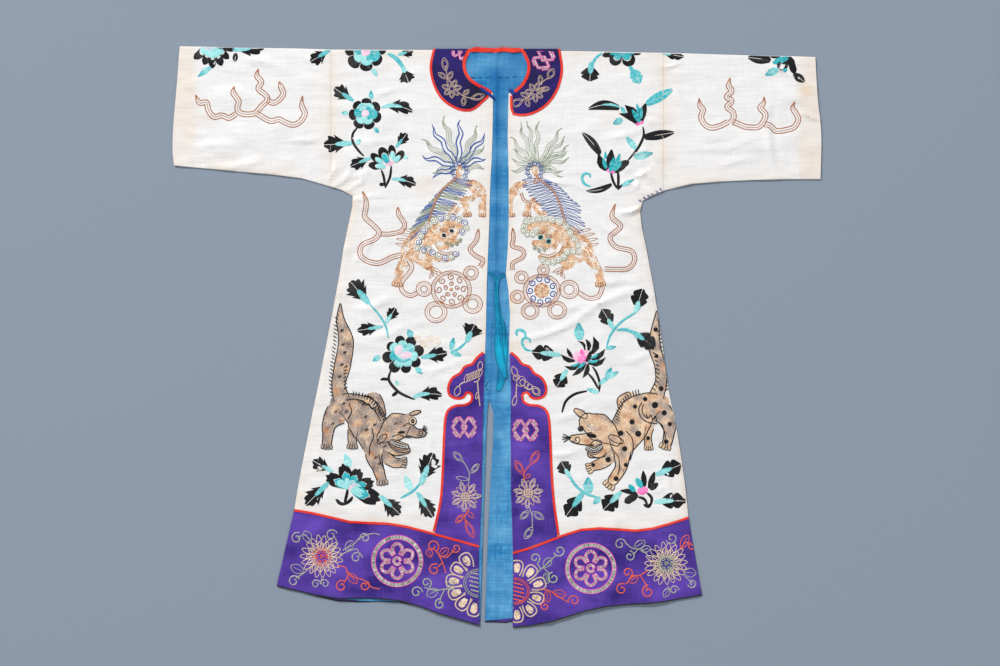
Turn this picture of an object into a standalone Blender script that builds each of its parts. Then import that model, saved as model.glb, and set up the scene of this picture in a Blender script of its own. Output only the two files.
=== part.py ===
# Chinese robe laid flat on its back, seen from above.
# X runs from the left cuff to the right cuff, Y from the hem to the shoulder fold, and
# Z up from the surface that the robe lies on. The origin is on that surface, under the
# middle of the robe. The tables are in millimetres, and a mesh is made in metres.

import math

import bmesh
import bpy
from mathutils import Vector

MM = 0.001

# Walls and the gaps between them
CLOTH = 1.0
GAP = 0.3
LAYER = CLOTH + GAP

# Height of the middle of each layer's wall
BACK = CLOTH / 2
LINING = BACK + LAYER
FRONT = LINING + LAYER
TRIM = FRONT + LAYER
NECK_TIE = TRIM + LAYER

# Spacing of the points
COLUMNS = 10
ROW_STEP = 42
FOLD_STEPS = 4
COLLAR_STEPS = 18
BORDER_STEPS = 84

# Seams, piping and binding
SEAM_EASE = 8
LINING_INSET = 12
PIPING = 5.0
NECK_EDGE = 6.5
COLLAR_EDGE = 5.0
BINDING = 2.6
FOLD_LIP = 3.0
BACK_TOP = 611.9
SEAM_X = 357
UNDERARM_Y = 305

# Turn of the cloth at the shoulder fold, in degrees: half of it beside the neck, where the collar
# lies in the back, and just under a half turn for the collar
FULL_TURN = 180
NECK_TURN = 90
COLLAR_TURN = 179.9
NECK_REACH = 150

# Middle of the robe, which the origin is under
CENTRE = Vector((-0.1, 0.0, 0.0))

# Red piping line on top of the hem band, from the front edge to the side seam: x, y
BAND_LEFT = (
    (-39, -450), (-147, -420), (-197, -407), (-246, -400), (-312, -398), (-378, -382),
    (-436, -372),
)
BAND_RIGHT = (
    (34, -464), (79, -451), (125, -433), (177, -415), (227, -411), (309, -416), (358, -405),
    (411, -388),
)

# Hem of the front and of the back, from the front edge or vent to the side seam: x, y
HEM_LEFT = (
    (-38, -621), (-82, -608), (-131, -593), (-181, -575), (-227, -565), (-305, -562),
    (-355, -562), (-428, -547), (-473, -536),
)
HEM_RIGHT = (
    (34, -625), (95, -618), (144, -604), (193, -589), (243, -579), (342, -572), (391, -564),
    (440, -556),
)
BACK_HEM_LEFT = (
    (-36, -613), (-82, -602), (-131, -588), (-181, -576), (-230, -569), (-280, -570),
    (-327, -570), (-360, -565), (-428, -546), (-472, -534),
)
BACK_HEM_RIGHT = (
    (-26, -613), (-6, -619), (34, -611), (135, -590), (221, -576), (342, -568), (391, -560),
    (439, -552),
)

# Rows of a front above the band: front edge x, y, side x, y
FRONT_LEFT = (
    (-33, -330, -424, -302),
    (-31, -200, -402, -190),
    (-28, -90, -381, -88),
    (-24, 20, -360, 20),
    (-22, 120, -341, 118),
    (-19, 190, -330, 190),
    (-17, 240, -320, 238),
    (-16, 285, -311, 280),
    (-15, 318, -310, 303),
    (-14, 345, -334, 316),
    (-12, 375, -SEAM_X, 323),
    (-10, 430, -SEAM_X, 400),
    (-9, 485, -SEAM_X, 470),
    (-9, 526, -SEAM_X, 520),
    (-22, 535, -SEAM_X, 540),
    (-41, 546, -SEAM_X, 560),
    (-58, 559, -SEAM_X, 575),
    (-67, 577, -SEAM_X, 588),
    (-66, 596, -SEAM_X, 601),
    (-56, 615, -SEAM_X, 616),
)
FRONT_RIGHT = (
    (30, -330, 404, -320),
    (29, -210, 387, -205),
    (30, -110, 368, -110),
    (26, -20, 356, -20),
    (28, 50, 345, 52),
    (24, 105, 336, 108),
    (19, 135, 330, 140),
    (23, 190, 321, 188),
    (25, 240, 311, 235),
    (25, 290, 307, 270),
    (25, 325, 313, 293),
    (25, 352, 332, 304),
    (24, 385, SEAM_X, 314),
    (23, 440, SEAM_X, 400),
    (24, 495, SEAM_X, 470),
    (25, 524, SEAM_X, 510),
    (38, 530, SEAM_X, 528),
    (54, 542, SEAM_X, 546),
    (64, 557, SEAM_X, 562),
    (68, 577, SEAM_X, 578),
    (64, 596, SEAM_X, 594),
    (51, 615, SEAM_X, 609),
)

# Rows of a back above the band: centre seam or vent x, y, side x, y
BACK_LEFT = (
    (-28, -342, -426, -312),
    (-24, -234, -408, -228),
    (-21, -163, -396, -158),
    (-17, -133, -389, -130),
    (-16.5, -122, -387, -120),
    (-10, 20, -360, 20),
    (-3, 155, -336, 150),
    (-2, 240, -320, 238),
    (-1, 285, -311, 280),
    (-1, 318, -310, 303),
    (-1, 345, -334, 316),
    (-1, 375, -SEAM_X, 323),
    (0, 440, -SEAM_X, 420),
)
BACK_RIGHT = (
    (-16, -342, 405, -325),
    (-9, -234, 391, -230),
    (-8, -163, 379, -158),
    (-17, -133, 371, -130),
    (-16.5, -122, 369, -120),
    (-10, 20, 349, 20),
    (-3, 155, 326, 160),
    (-2, 240, 311, 235),
    (-1, 285, 307, 270),
    (-1, 318, 313, 293),
    (-1, 345, 332, 304),
    (-1, 375, SEAM_X, 314),
    (0, 440, SEAM_X, 400),
)

# Half rings of the collar at the front, from the front end to the shoulder: inner x, y, outer x, y
COLLAR_LEFT = (
    (-10, 526, -17, 516),
    (-14, 530, -35, 499),
    (-20, 534, -47, 489),
    (-28, 538, -65, 484),
    (-41, 545, -93, 491),
    (-56, 556, -122, 513),
    (-66, 573, -139, 546),
    (-67, 593, -145, 582),
    (-56, 616.9, -138, 616.9),
)
COLLAR_RIGHT = (
    (28, 525, 28, 518),
    (31, 527, 28, 502),
    (36, 530, 30, 482),
    (40, 533, 36, 476),
    (46, 538, 64, 475),
    (54, 547, 91, 485),
    (63, 566, 117, 507),
    (65, 585, 135, 540),
    (58, 603, 142, 577),
    (50, 616.9, 136, 616.9),
)

# The back neckline and the back edge of the collar are quarter ellipses under the shoulder fold
NECK_DROP = 6
COLLAR_DROP = 112
COLLAR_BACK_STEPS = 6
BACK_STEP = 20

# Lengths of a sleeve from the seam to the cuff: top x, y, bottom x, y
SLEEVE_LEFT = (
    (-425, 620, -421, 341),
    (-492, 621, -484, 349),
    (-560, 622, -553, 355),
    (-628, 624, -626, 362),
)
CUFF_LEFT = ((-682, 625), (-690, 520), (-696, 450), (-697, 385), (-694, 368))
SLEEVE_RIGHT = (
    (426, 609, 419, 329),
    (488, 607, 482, 334),
    (555, 605, 548, 337),
    (619, 604, 619, 339),
)
CUFF_RIGHT = ((684, 602), (689, 512), (694, 470), (697, 430), (695, 339))

# Outline of a front border, from its tip on the front edge round the cloud head and down:
# outwards from the front edge, down from the tip
CLOUD_HEAD = (
    (3, 2),
    (17, 14),
    (27, 27),
    (43, 33),
    (52, 46),
    (69, 57),
    (78, 75),
    (76, 93),
    (62, 101),
    (47, 99),
    (38, 88),
    (28, 92),
    (29, 107),
    (43, 115),
    (63, 117),
    (78, 126),
    (84, 142),
    (87, 178),
    (90, 254),
    (95, 322),
)
BORDER_TIP = -31
BORDER_LEFT_EDGE = ((-26.5, -33), (-28, -90), (-31, -200), (-33, -330), (-38, -445))
BORDER_RIGHT_EDGE = ((27, -37), (30, -110), (29, -210), (30, -330), (34, -459))
BORDER_FOOT = 98

# Soft folds of the front: centre x, y, direction in degrees, half length, half width, height
FOLDS = (
    (-135, -560, 96, 150, 34, 2.6),
    (-240, -530, 100, 190, 38, 3.4),
    (-345, -500, 103, 170, 34, 2.8),
    (125, -560, 84, 140, 34, 2.2),
    (235, -520, 80, 190, 38, 3.2),
    (345, -490, 77, 170, 34, 2.6),
    (-250, 60, 100, 200, 40, 2.0),
    (230, 20, 82, 220, 40, 2.2),
    (-300, 390, 48, 80, 26, 2.4),
    (300, 380, 132, 80, 26, 2.6),
    (-520, 430, 4, 110, 30, 2.6),
    (-600, 520, 172, 70, 28, 2.0),
    (530, 420, 176, 110, 30, 2.4),
    (610, 500, 14, 60, 26, 2.2),
)

# Where stiff cloth keeps the front flat: reach of the borders, how much less it is at the hem, and
# how far it fades out. Then the heights between which it shrinks, the circle round the collar,
# and the stretch under the shoulder fold, each from flat to free.
BORDER_CALM = (180, 120, 40)
HEM_CALM = (470, 540)
COLLAR_CALM = (190, 240)
SHOULDER_CALM = (15, 60)
SHOULDER_Y = 616

# Ribbon ties: x, y, height, width
TIE_LEFT = (
    (-18, 139, FRONT, 6),
    (-10, 134, FRONT, 7),
    (-3, 122, FRONT, 8),
    (-1, 100, FRONT, 9),
    (1, 70, FRONT, 10),
    (6, 40, FRONT, 13),
    (13, 15, FRONT, 15),
    (15, -25, FRONT, 16),
    (13, -60, FRONT, 17),
    (9, -90, FRONT, 17),
    (4, -110, FRONT, 14),
    (3, -118, FRONT, 6),
)
TIE_RIGHT = (
    (17, 134, TRIM, 7),
    (8, 132, TRIM, 7),
    (1, 122, TRIM, 8),
    (-2, 100, TRIM, 9),
    (0, 60, TRIM, 10),
    (3, 25, TRIM, 14),
    (3, -10, TRIM, 18),
    (6, -45, TRIM, 19),
    (13, -72, TRIM, 16),
    (19, -88, TRIM, 8),
)
NECK_TIE_LEFT = (
    (-36, 535, NECK_TIE, 6),
    (-26, 528, NECK_TIE, 6.5),
    (-14, 519, NECK_TIE, 6.5),
    (-5, 511, NECK_TIE, 5),
)
NECK_TIE_RIGHT = (
    (27, 531, NECK_TIE, 6),
    (32, 527, NECK_TIE, 9),
    (37, 522, NECK_TIE, 7),
)

# Red binding along the back of the neck: x, y, height, width
NECK_BINDING = (
    (-53, 615.5, FRONT, 7),
    (-44, 618.5, FRONT, 10),
    (-30, 616, FRONT, 10),
    (-14, 617, FRONT, 9),
    (0, 616, FRONT, 9.5),
    (18, 617.5, FRONT, 9),
    (34, 616.5, FRONT, 10),
    (47, 615.5, FRONT, 7),
)

# Each ribbon with its number of steps and its cloth
RIBBONS = (
    ("tie_left", TIE_LEFT, 26, "teal ribbon"),
    ("tie_right", TIE_RIGHT, 24, "teal ribbon"),
    ("neck_tie_left", NECK_TIE_LEFT, 6, "dark blue cloth"),
    ("neck_tie_right", NECK_TIE_RIGHT, 4, "dark blue cloth"),
    ("neck_binding", NECK_BINDING, 16, "red binding"),
)

# Colour and roughness of each cloth
FINISHES = {
    "cream silk": ((0.80, 0.76, 0.70), 0.62),
    "blue lining": ((0.045, 0.22, 0.47), 0.85),
    "purple satin": ((0.075, 0.028, 0.30), 0.55),
    "red binding": ((0.78, 0.025, 0.02), 0.6),
    "black binding": ((0.01, 0.01, 0.012), 0.7),
    "teal ribbon": ((0.0, 0.24, 0.42), 0.5),
    "dark blue cloth": ((0.005, 0.05, 0.3), 0.7),
}


def clear_scene():
    for item in list(bpy.data.objects):
        bpy.data.objects.remove(item, do_unlink=True)


def make_materials():
    made = {}
    for name, (colour, roughness) in FINISHES.items():
        material = bpy.data.materials.new(name)
        material.use_nodes = True
        shader = material.node_tree.nodes["Principled BSDF"]
        shader.inputs["Base Color"].default_value = (*colour, 1)
        shader.inputs["Roughness"].default_value = roughness
        made[name] = material
    return made


def make_collection(name):
    collection = bpy.data.collections.new(name)
    bpy.context.scene.collection.children.link(collection)
    return collection


# Curves and rows of points


def hermite(points, index, share):
    # A point in the stretch after points[index], on a smooth line through all of them.
    def slope(at):
        first = max(at - 1, 0)
        last = min(at + 1, len(points) - 1)
        way = sum((points[i + 1] - points[i]).length for i in range(first, last))
        return (points[last] - points[first]) / way

    start, end = points[index], points[index + 1]
    span = (end - start).length
    square, cube = share**2, share**3
    point = start * (2 * cube - 3 * square + 1) + end * (3 * square - 2 * cube)
    return point + (slope(index) * (cube - 2 * square + share) + slope(index + 1) * (cube - square)) * span


def smooth(points, steps):
    # steps + 1 points, evenly spaced on a smooth line through the points.
    points = [Vector(point) for point in points]
    spans = [(b - a).length for a, b in zip(points, points[1:])]
    line = []
    index, passed = 0, 0.0
    for step in range(steps + 1):
        reach = sum(spans) * step / steps
        while index < len(spans) - 1 and reach > passed + spans[index]:
            passed += spans[index]
            index += 1
        line.append(hermite(points, index, min((reach - passed) / spans[index], 1)))
    return line


def loft(lines, steps, between=ROW_STEP, ease=SEAM_EASE):
    # Rows of points across the lines. Each row gets one point more, just inside its outer end.
    rows = []
    for line in lines:
        row = smooth(line, steps)
        if ease:
            row.insert(-1, row[-1] + (row[-2] - row[-1]).normalized() * ease)
        rows.append(row)
    filled = []
    for index in range(len(rows) - 1):
        span = (rows[index + 1][steps // 2] - rows[index][steps // 2]).length
        parts = max(1, round(span / between))
        for part in range(parts):
            filled.append([hermite(column, index, part / parts) for column in zip(*rows)])
    filled.append(rows[-1])
    for row in filled:
        if row[-1].y > UNDERARM_Y and abs(row[-1].x) > SEAM_X and ease:
            row[-1].x = math.copysign(SEAM_X, row[-1].x)
    return filled


def pairs(table):
    return [((a, b), (c, d)) for a, b, c, d in table]


def shifted(line, x, y):
    return [(point[0] + x, point[1] + y) for point in line]


def at_height(rows, height):
    return [[Vector((point.x, point.y, height)) for point in row] for row in rows]


# Heights of the cloth


def step_up(value, low, high):
    share = min(max((value - low) / (high - low), 0), 1)
    return share * share * (3 - 2 * share)


def calm(x, y):
    # 0 under the borders and the collar, whose stiff cloth keeps the front flat, and 1 elsewhere.
    reach, less, fade = BORDER_CALM
    reach -= less * step_up(-y, *HEM_CALM)
    border = step_up(abs(x), reach, reach + fade)
    collar = step_up(math.hypot(x, y - SHOULDER_Y), *COLLAR_CALM)
    shoulder = step_up(SHOULDER_Y - y, *SHOULDER_CALM)
    return border * collar * shoulder


def ripple(x, y):
    height = 0.0
    for centre_x, centre_y, degrees, half_length, half_width, top in FOLDS:
        along = Vector((math.cos(math.radians(degrees)), math.sin(math.radians(degrees))))
        away = Vector((x - centre_x, y - centre_y))
        length = away.dot(along) / half_length
        width = away.cross(along) / half_width
        height += top * math.exp(-(width**2) - length**4)
    return height * calm(x, y)


def front_rows(rows):
    # The side edge comes down to meet the back, except along the sleeve seam.
    lifted = []
    for row in rows:
        level = [Vector((point.x, point.y, FRONT + ripple(point.x, point.y))) for point in row]
        if abs(row[-1].x) < SEAM_X - 1 or row[-1].y < 0:
            level[-1].z = LINING
        lifted.append(level)
    return lifted


def turned(row, turns):
    # Rows that carry a row round the shoulder fold towards the back, with one turn for each point.
    rows = []
    for step in range(1, FOLD_STEPS + 1):
        fold = []
        for point, turn in zip(row, turns):
            angle = math.radians(turn * step / FOLD_STEPS)
            radius = (point.z - BACK) / 2
            rise = radius * math.cos(angle) - radius
            fold.append(point + Vector((0, radius * math.sin(angle), rise)))
        rows.append(fold)
    return rows


# Making the solids


def add_wall(name, rows, thickness=CLOTH, ring=False):
    # One wall of even thickness with the rows in its middle. A ring ends on the row it starts with.
    mesh = bpy.data.meshes.new(name)
    across, down = len(rows[0]) - 1, len(rows) - 1
    bm = bmesh.new()
    bmesh.ops.create_grid(bm, x_segments=across, y_segments=down, size=1)
    for vert in bm.verts:
        column = round((vert.co.x + 1) / 2 * across)
        row = round((vert.co.y + 1) / 2 * down)
        vert.co = (rows[row][column] - CENTRE) * MM
    if ring:
        bmesh.ops.remove_doubles(bm, verts=bm.verts, dist=1e-6)
    bm.to_mesh(mesh)
    bm.free()
    wall = bpy.data.objects.new(name, mesh)
    solidify = wall.modifiers.new("cloth thickness", "SOLIDIFY")
    solidify.thickness = thickness * MM
    solidify.offset = 0
    solidify.use_even_offset = True
    mesh.shade_smooth()
    mesh.set_sharp_from_angle(angle=math.radians(40))
    return wall


def add_strip(name, table, steps, thickness=CLOTH):
    # A ribbon along the table's points: x, y, height, width.
    line = smooth(table, steps)
    rows = []
    for index, point in enumerate(line):
        way = line[min(index + 1, steps)] - line[max(index - 1, 0)]
        side = Vector((-way.y, way.x, 0)).normalized() * point.w / 2
        middle = Vector((point.x, point.y, point.z))
        rows.append([middle - side, middle + side])
    return add_wall(name, rows, thickness)


def add_flat(name, outline, height, thickness=CLOTH):
    # A flat piece of cloth inside a closed outline.
    curve = bpy.data.curves.new(name, "CURVE")
    curve.dimensions = "2D"
    curve.fill_mode = "BOTH"
    curve.extrude = thickness / 2 * MM
    spline = curve.splines.new("POLY")
    spline.points.add(len(outline) - 1)
    for slot, point in zip(spline.points, outline):
        slot.co = ((point.x - CENTRE.x) * MM, (point.y - CENTRE.y) * MM, 0, 1)
    spline.use_cyclic_u = True
    flat = bpy.data.objects.new(name, curve)
    flat.location.z = height * MM
    return flat


# Pieces of the robe


def front(name, band, table):
    # The front ends in a lip: under the back's layer, or straight down beside the neck.
    rows = front_rows(loft([band] + pairs(table), COLUMNS))
    rows += turned(rows[-1], [NECK_TURN if abs(point.x) < NECK_REACH else FULL_TURN for point in rows[-1]])
    lip = []
    for point in rows[-1]:
        under = point.z < LINING - GAP
        lip.append(point - Vector((0, FOLD_LIP if under else 0, 0 if under else GAP)))
    return add_wall(name, rows + [lip])


def quarter(half_width, drop, steps):
    # Quarter ellipse from the shoulder fold to the centre back.
    turns = [math.radians(90 * step / steps) for step in range(steps + 1)]
    return [Vector((half_width * math.cos(turn), BACK_TOP - drop * math.sin(turn))) for turn in turns]


def back_top(front_table, x):
    # The top of the back, under the lip of the front's shoulder fold.
    first, last = front_table[-1][:2], front_table[-1][2:]
    share = (x - first[0]) / (last[0] - first[0])
    return min(first[1] + (last[1] - first[1]) * share - FOLD_LIP - GAP, BACK_TOP)


def back(name, band, table, collar, front_table, side):
    # The collar lies in the back, so the neckline of the back is the collar's outer edge.
    half_width = collar[-1][2] + side * 2 * GAP
    edge = quarter(half_width, COLLAR_DROP + GAP, COLLAR_BACK_STEPS)
    edge[-1].x = 0
    edge[0].y = back_top(front_table, edge[0].x)
    top = back_top(front_table, side * SEAM_X)
    lines = [band] + pairs(table)
    first = table[-1][3] + BACK_STEP
    for index, point in enumerate(reversed(edge)):
        y = first + (top - first) * index / COLLAR_BACK_STEPS
        lines.append((point, (side * SEAM_X, y)))
    rows = loft(lines, COLUMNS, 2 * ROW_STEP)
    for row in rows:
        row[0].x += side * GAP / 2
    return add_wall(name, at_height(rows, BACK))


def lining(name, hem, table, front_table, side):
    top = (0, BACK_TOP - GAP), (side * SEAM_X, back_top(front_table, side * SEAM_X) - GAP)
    lines = [shifted(hem, 0, BINDING + 2 * GAP)] + pairs(table) + [top]
    inset = []
    for line in lines:
        row = smooth(line, COLUMNS)
        row[-1] += (row[0] - row[-1]).normalized() * LINING_INSET
        inset.append([point + Vector((side * GAP / 2, 0)) for point in row])
    return add_wall(name, at_height(loft(inset, COLUMNS // 2, 2 * ROW_STEP, 0), LINING))


def sleeve(name, table, cuff, front_table, side):
    seam = front_table[-1][3], [row for row in front_table if abs(row[2]) == SEAM_X][0][3]
    lines = [((side * (SEAM_X + GAP), seam[1]), (side * (SEAM_X + GAP), seam[0] + 2))]
    lines += [((c, d), (a, b)) for a, b, c, d in table] + [tuple(reversed(cuff))]
    radius = (FRONT - BACK) / 2
    stations = []
    for station in loft(lines, COLUMNS, 2 * ROW_STEP, 0):
        low, high = station[0].y + radius + CLOTH / 2, station[-1].y - radius - CLOTH / 2
        share = (high - low) / (station[-1].y - station[0].y)
        outer = [Vector((p.x, low + (p.y - station[0].y) * share, FRONT)) for p in station]
        top = [Vector((p.x, p.y, FRONT + ripple(p.x, p.y))) for p in outer]
        top[0].z = top[-1].z = FRONT
        under = [Vector((p.x, p.y, BACK)) for p in reversed(outer)]
        stations.append(top + fold_round(top[-1], 1) + under + fold_round(top[0], -1) + [top[0]])
    return add_wall(name, [list(row) for row in zip(*stations)], ring=True)


def fold_round(point, way):
    # Points of a half circle between the two layers of a sleeve, upwards or downwards in Y.
    radius = (FRONT - BACK) / 2
    turns = [math.radians(180 * step / FOLD_STEPS) for step in range(1, FOLD_STEPS)]
    points = [Vector((point.x, point.y + way * radius * math.sin(t), LINING + radius * math.cos(t))) for t in turns]
    return points if way > 0 else points[::-1]


def ring_rows(table, side):
    # Rows of a half collar: over the front, round the shoulder fold and flat under the back.
    inner = smooth([(a, b, TRIM) for a, b, c, d in table], COLLAR_STEPS)
    outer = smooth([(c, d, TRIM) for a, b, c, d in table], COLLAR_STEPS)
    rows = [[first, last] for first, last in zip(inner, outer)]
    rows += turned(rows[-1], (COLLAR_TURN, COLLAR_TURN))
    inner = quarter(table[-1][0], NECK_DROP, COLLAR_BACK_STEPS)
    outer = quarter(table[-1][2], COLLAR_DROP, COLLAR_BACK_STEPS)
    inner[-1].x = outer[-1].x = side * GAP / 2
    rows += [[Vector((a.x, a.y, BACK)), Vector((b.x, b.y, BACK))] for a, b in zip(inner, outer)]
    return rows


def beside(rows, column, distance, side):
    # The points of a line of the rows, moved square to the line over the front, and along the row
    # behind the shoulder fold.
    points = []
    for index, row in enumerate(rows):
        if index < COLLAR_STEPS:
            before, after = rows[max(index - 1, 0)][column], rows[index + 1][column]
            way = after - before
            turn = -side if column else side
            across = Vector((way.y * turn, -way.x * turn, 0)).normalized()
        else:
            across = (row[1 - column] - row[column]).normalized()
        points.append(row[column] + across * distance)
    return points


def collar_pieces(side_name, table, side):
    rows = ring_rows(table, side)
    lines = {
        "inner": [row[0] for row in rows],
        "neck": beside(rows, 0, NECK_EDGE, side),
        "first": beside(rows, 0, NECK_EDGE + GAP, side),
        "last": beside(rows, 1, COLLAR_EDGE + GAP, side),
        "edge": beside(rows, 1, COLLAR_EDGE, side),
        "outer": [row[1] for row in rows],
    }
    middle = [[a, (a + b) / 2, b] for a, b in zip(lines["first"], lines["last"])]
    neck = [list(row) for row in zip(lines["inner"], lines["neck"])]
    edge = [list(row) for row in zip(lines["edge"], lines["outer"])]
    return [
        (add_wall("collar_" + side_name, middle), "purple satin"),
        (add_wall("neck_edge_" + side_name, neck), "red binding"),
        (add_wall("collar_edge_" + side_name, edge), "red binding"),
    ]


def along_row(name, row, inner, outer, height=0.0):
    # A strip beside a row of points, from inner to outer in Y, raised by height.
    strips = [[point + Vector((0, y, height)) for point in row] for y in (outer, inner)]
    return add_wall(name, strips)


def hem_pieces(side_name, band, hem, back_band, back_hem):
    # The band on the front and on the back, with the piping on top and the binding below.
    pieces = []
    front_grid = front_rows(loft([shifted(hem, 0, BINDING + GAP), shifted(band, 0, -GAP)], COLUMNS))
    pieces.append((add_wall("hem_band_front_" + side_name, front_grid), "purple satin"))
    top = front_rows(loft([band, shifted(band, 0, 1)], COLUMNS))[0]
    pieces.append((along_row("band_piping_front_" + side_name, top, -PIPING / 2, PIPING / 2, LAYER), "red binding"))
    low = front_grid[0]
    pieces.append((along_row("hem_binding_front_" + side_name, low, -BINDING - GAP, -GAP), "black binding"))
    lines = [shifted(back_hem, 0, BINDING + GAP), shifted(back_band, 0, -PIPING - 2 * GAP)]
    back_grid = at_height(loft(lines, COLUMNS), BACK)
    pieces.append((add_wall("hem_band_back_" + side_name, back_grid), "purple satin"))
    top = back_grid[-1]
    pieces.append((along_row("band_piping_back_" + side_name, top, GAP, PIPING + GAP), "red binding"))
    low = back_grid[0]
    pieces.append((along_row("hem_binding_back_" + side_name, low, -BINDING - GAP, -GAP), "black binding"))
    return pieces


def offset_line(line, distance):
    # The line moved sideways, to the left of its direction.
    moved = []
    for index, point in enumerate(line):
        way = line[min(index + 1, len(line) - 1)] - line[max(index - 1, 0)]
        moved.append(point + Vector((-way.y, way.x)).normalized() * distance)
    return moved


def height_on(line, x):
    # The Y of a line, which runs outwards in X, at x.
    for (first_x, first_y), (last_x, last_y) in zip(line, line[1:]):
        if abs(x) <= abs(last_x):
            return first_y + (last_y - first_y) * (x - first_x) / (last_x - first_x)
    return last_y


def border_pieces(side_name, edge, band, side):
    # A flat panel with a cloud head, and the piping round its outer outline.
    tip = edge[0]
    outline = [(tip[0] + side * out, BORDER_TIP - down) for out, down in CLOUD_HEAD]
    foot_x = edge[-1][0] + side * BORDER_FOOT
    foot_y = height_on(band, foot_x) + PIPING
    line = smooth(outline + [(foot_x, foot_y)], BORDER_STEPS)
    strip = []
    for first, last in zip(offset_line(line, -side * PIPING / 2), offset_line(line, side * PIPING / 2)):
        strip.append([Vector((first.x, first.y, TRIM)), Vector((last.x, last.y, TRIM))])
    inside = offset_line(line, -side * (PIPING / 2 + GAP))
    panel = [point for point in inside if abs(point.x) > abs(tip[0]) + GAP]
    foot = [Vector((x, height_on(band, x) + PIPING / 2 + GAP)) for x in (edge[-1][0], panel[-1].x / 2, panel[-1].x)]
    panel[-1].y = foot[-1].y + CLOTH
    edge_points = [Vector(point) for point in edge[1:-1]]
    top = Vector((tip[0], panel[0].y - CLOTH))
    panel += foot[::-1] + edge_points[::-1] + [top]
    return [
        (add_flat("border_" + side_name, panel, TRIM), "purple satin"),
        (add_wall("border_edge_" + side_name, strip), "red binding"),
    ]


def ribbons():
    return [(add_strip(name, table, steps), finish) for name, table, steps, finish in RIBBONS]


def half(side_name, side):
    left = side < 0
    band = BAND_LEFT if left else BAND_RIGHT
    hem = HEM_LEFT if left else HEM_RIGHT
    back_hem = BACK_HEM_LEFT if left else BACK_HEM_RIGHT
    front_table = FRONT_LEFT if left else FRONT_RIGHT
    back_table = BACK_LEFT if left else BACK_RIGHT
    collar_table = COLLAR_LEFT if left else COLLAR_RIGHT
    back_band = ((-31 if left else -19, band[0][1]),) + band[1:]
    pieces = [
        (front("front_" + side_name, band, front_table), "cream silk"),
        (back("back_" + side_name, back_band, back_table, collar_table, front_table, side), "cream silk"),
        (lining("lining_" + side_name, back_hem, back_table, front_table, side), "blue lining"),
    ]
    length = SLEEVE_LEFT if left else SLEEVE_RIGHT
    cuff = CUFF_LEFT if left else CUFF_RIGHT
    pieces.append((sleeve("sleeve_" + side_name, length, cuff, front_table, side), "cream silk"))
    pieces += collar_pieces(side_name, collar_table, side)
    pieces += hem_pieces(side_name, band, hem, back_band, back_hem)
    pieces += border_pieces(side_name, BORDER_LEFT_EDGE if left else BORDER_RIGHT_EDGE, band, side)
    return pieces


def build_robe():
    clear_scene()
    materials = make_materials()
    robe = make_collection("chinese_robe")
    for piece, finish in half("left", -1) + half("right", 1) + ribbons():
        piece.data.materials.append(materials[finish])
        robe.objects.link(piece)


build_robe()
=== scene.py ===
# Silk robe laid flat with its fronts parted: cream cloth, purple borders, blue lining, sewn motifs.
import cmath
import math

import bmesh
import bpy
import numpy as np
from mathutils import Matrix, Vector
from mathutils.bvhtree import BVHTree
from mathutils.kdtree import KDTree


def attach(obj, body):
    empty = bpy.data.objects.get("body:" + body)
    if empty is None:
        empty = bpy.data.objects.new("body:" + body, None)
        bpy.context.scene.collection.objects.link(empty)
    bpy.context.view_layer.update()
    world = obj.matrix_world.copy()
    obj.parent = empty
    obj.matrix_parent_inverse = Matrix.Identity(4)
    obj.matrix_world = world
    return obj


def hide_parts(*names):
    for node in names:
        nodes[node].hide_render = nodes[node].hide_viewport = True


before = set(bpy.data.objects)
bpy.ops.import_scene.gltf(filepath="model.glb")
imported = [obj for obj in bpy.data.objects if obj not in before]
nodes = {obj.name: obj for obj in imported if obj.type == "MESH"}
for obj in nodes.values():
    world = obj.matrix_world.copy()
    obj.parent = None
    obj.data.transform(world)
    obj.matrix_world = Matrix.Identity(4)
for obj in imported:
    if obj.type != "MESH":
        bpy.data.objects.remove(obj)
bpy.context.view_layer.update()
mm = 0.001
dice = np.random.default_rng(11)

# Where the photo's pixels lie on the robe: middleX and middleY are the origin, viewX and viewY the centre
picture = {"middleX": 497, "middleY": 337, "mmPerPixel": 2.15, "viewX": 500, "viewY": 333, "width": 1000}


def at(px, py):  # a place in the photo, as robe millimetres x + y*1j
    scale = picture["mmPerPixel"]
    return complex((px - picture["middleX"]) * scale, (picture["middleY"] - py) * scale)


def places(rows):
    return [at(px, py) for px, py in rows]


def colour(red, green, blue):  # screen values 0 to 255, as the linear colour that nodes take
    shares = [value / 255 for value in (red, green, blue)]
    return tuple(s / 12.92 if s < 0.04 else ((s + 0.055) / 1.055) ** 2.4 for s in shares) + (1,)


# Camera, floor and light
studio = {
    "cameraHeight": 6.0,
    "sensor": 36.0,
    "floorSize": 9.0,
    "floorHeight": -0.0004,  # a hair under the cloth
    "floorColour": colour(134, 146, 160),
    "floorRoughness": 0.9,
    "keyPlace": (-6.4, 9.8, 9.4),
    "keySize": 4.2,
    "keyPower": 2050,
    "fillPlace": (3.4, -4.2, 6.5),
    "fillSize": 5.0,
    "fillPower": 150,
    "skyColour": colour(240, 242, 246),
    "skyStrength": 0.42,
}


def addObject(name, data):
    thing = bpy.data.objects.new(name, data)
    bpy.context.scene.collection.objects.link(thing)
    return thing


def addMaterial(name, values):  # values are the same all over, so they go on the shader's own sockets
    material = bpy.data.materials.new(name)
    material.use_nodes = True
    shader = material.node_tree.nodes["Principled BSDF"]
    for label, value in values.items():
        shader.inputs[label].default_value = value
    return material, material.node_tree, shader


def addLight(name, place, size, power):
    light = addObject(name, bpy.data.lights.new(name, "AREA"))
    light.data.size = size
    light.data.energy = power
    light.location = place
    light.rotation_euler = (-Vector(place)).to_track_quat("-Z", "Y").to_euler()


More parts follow.
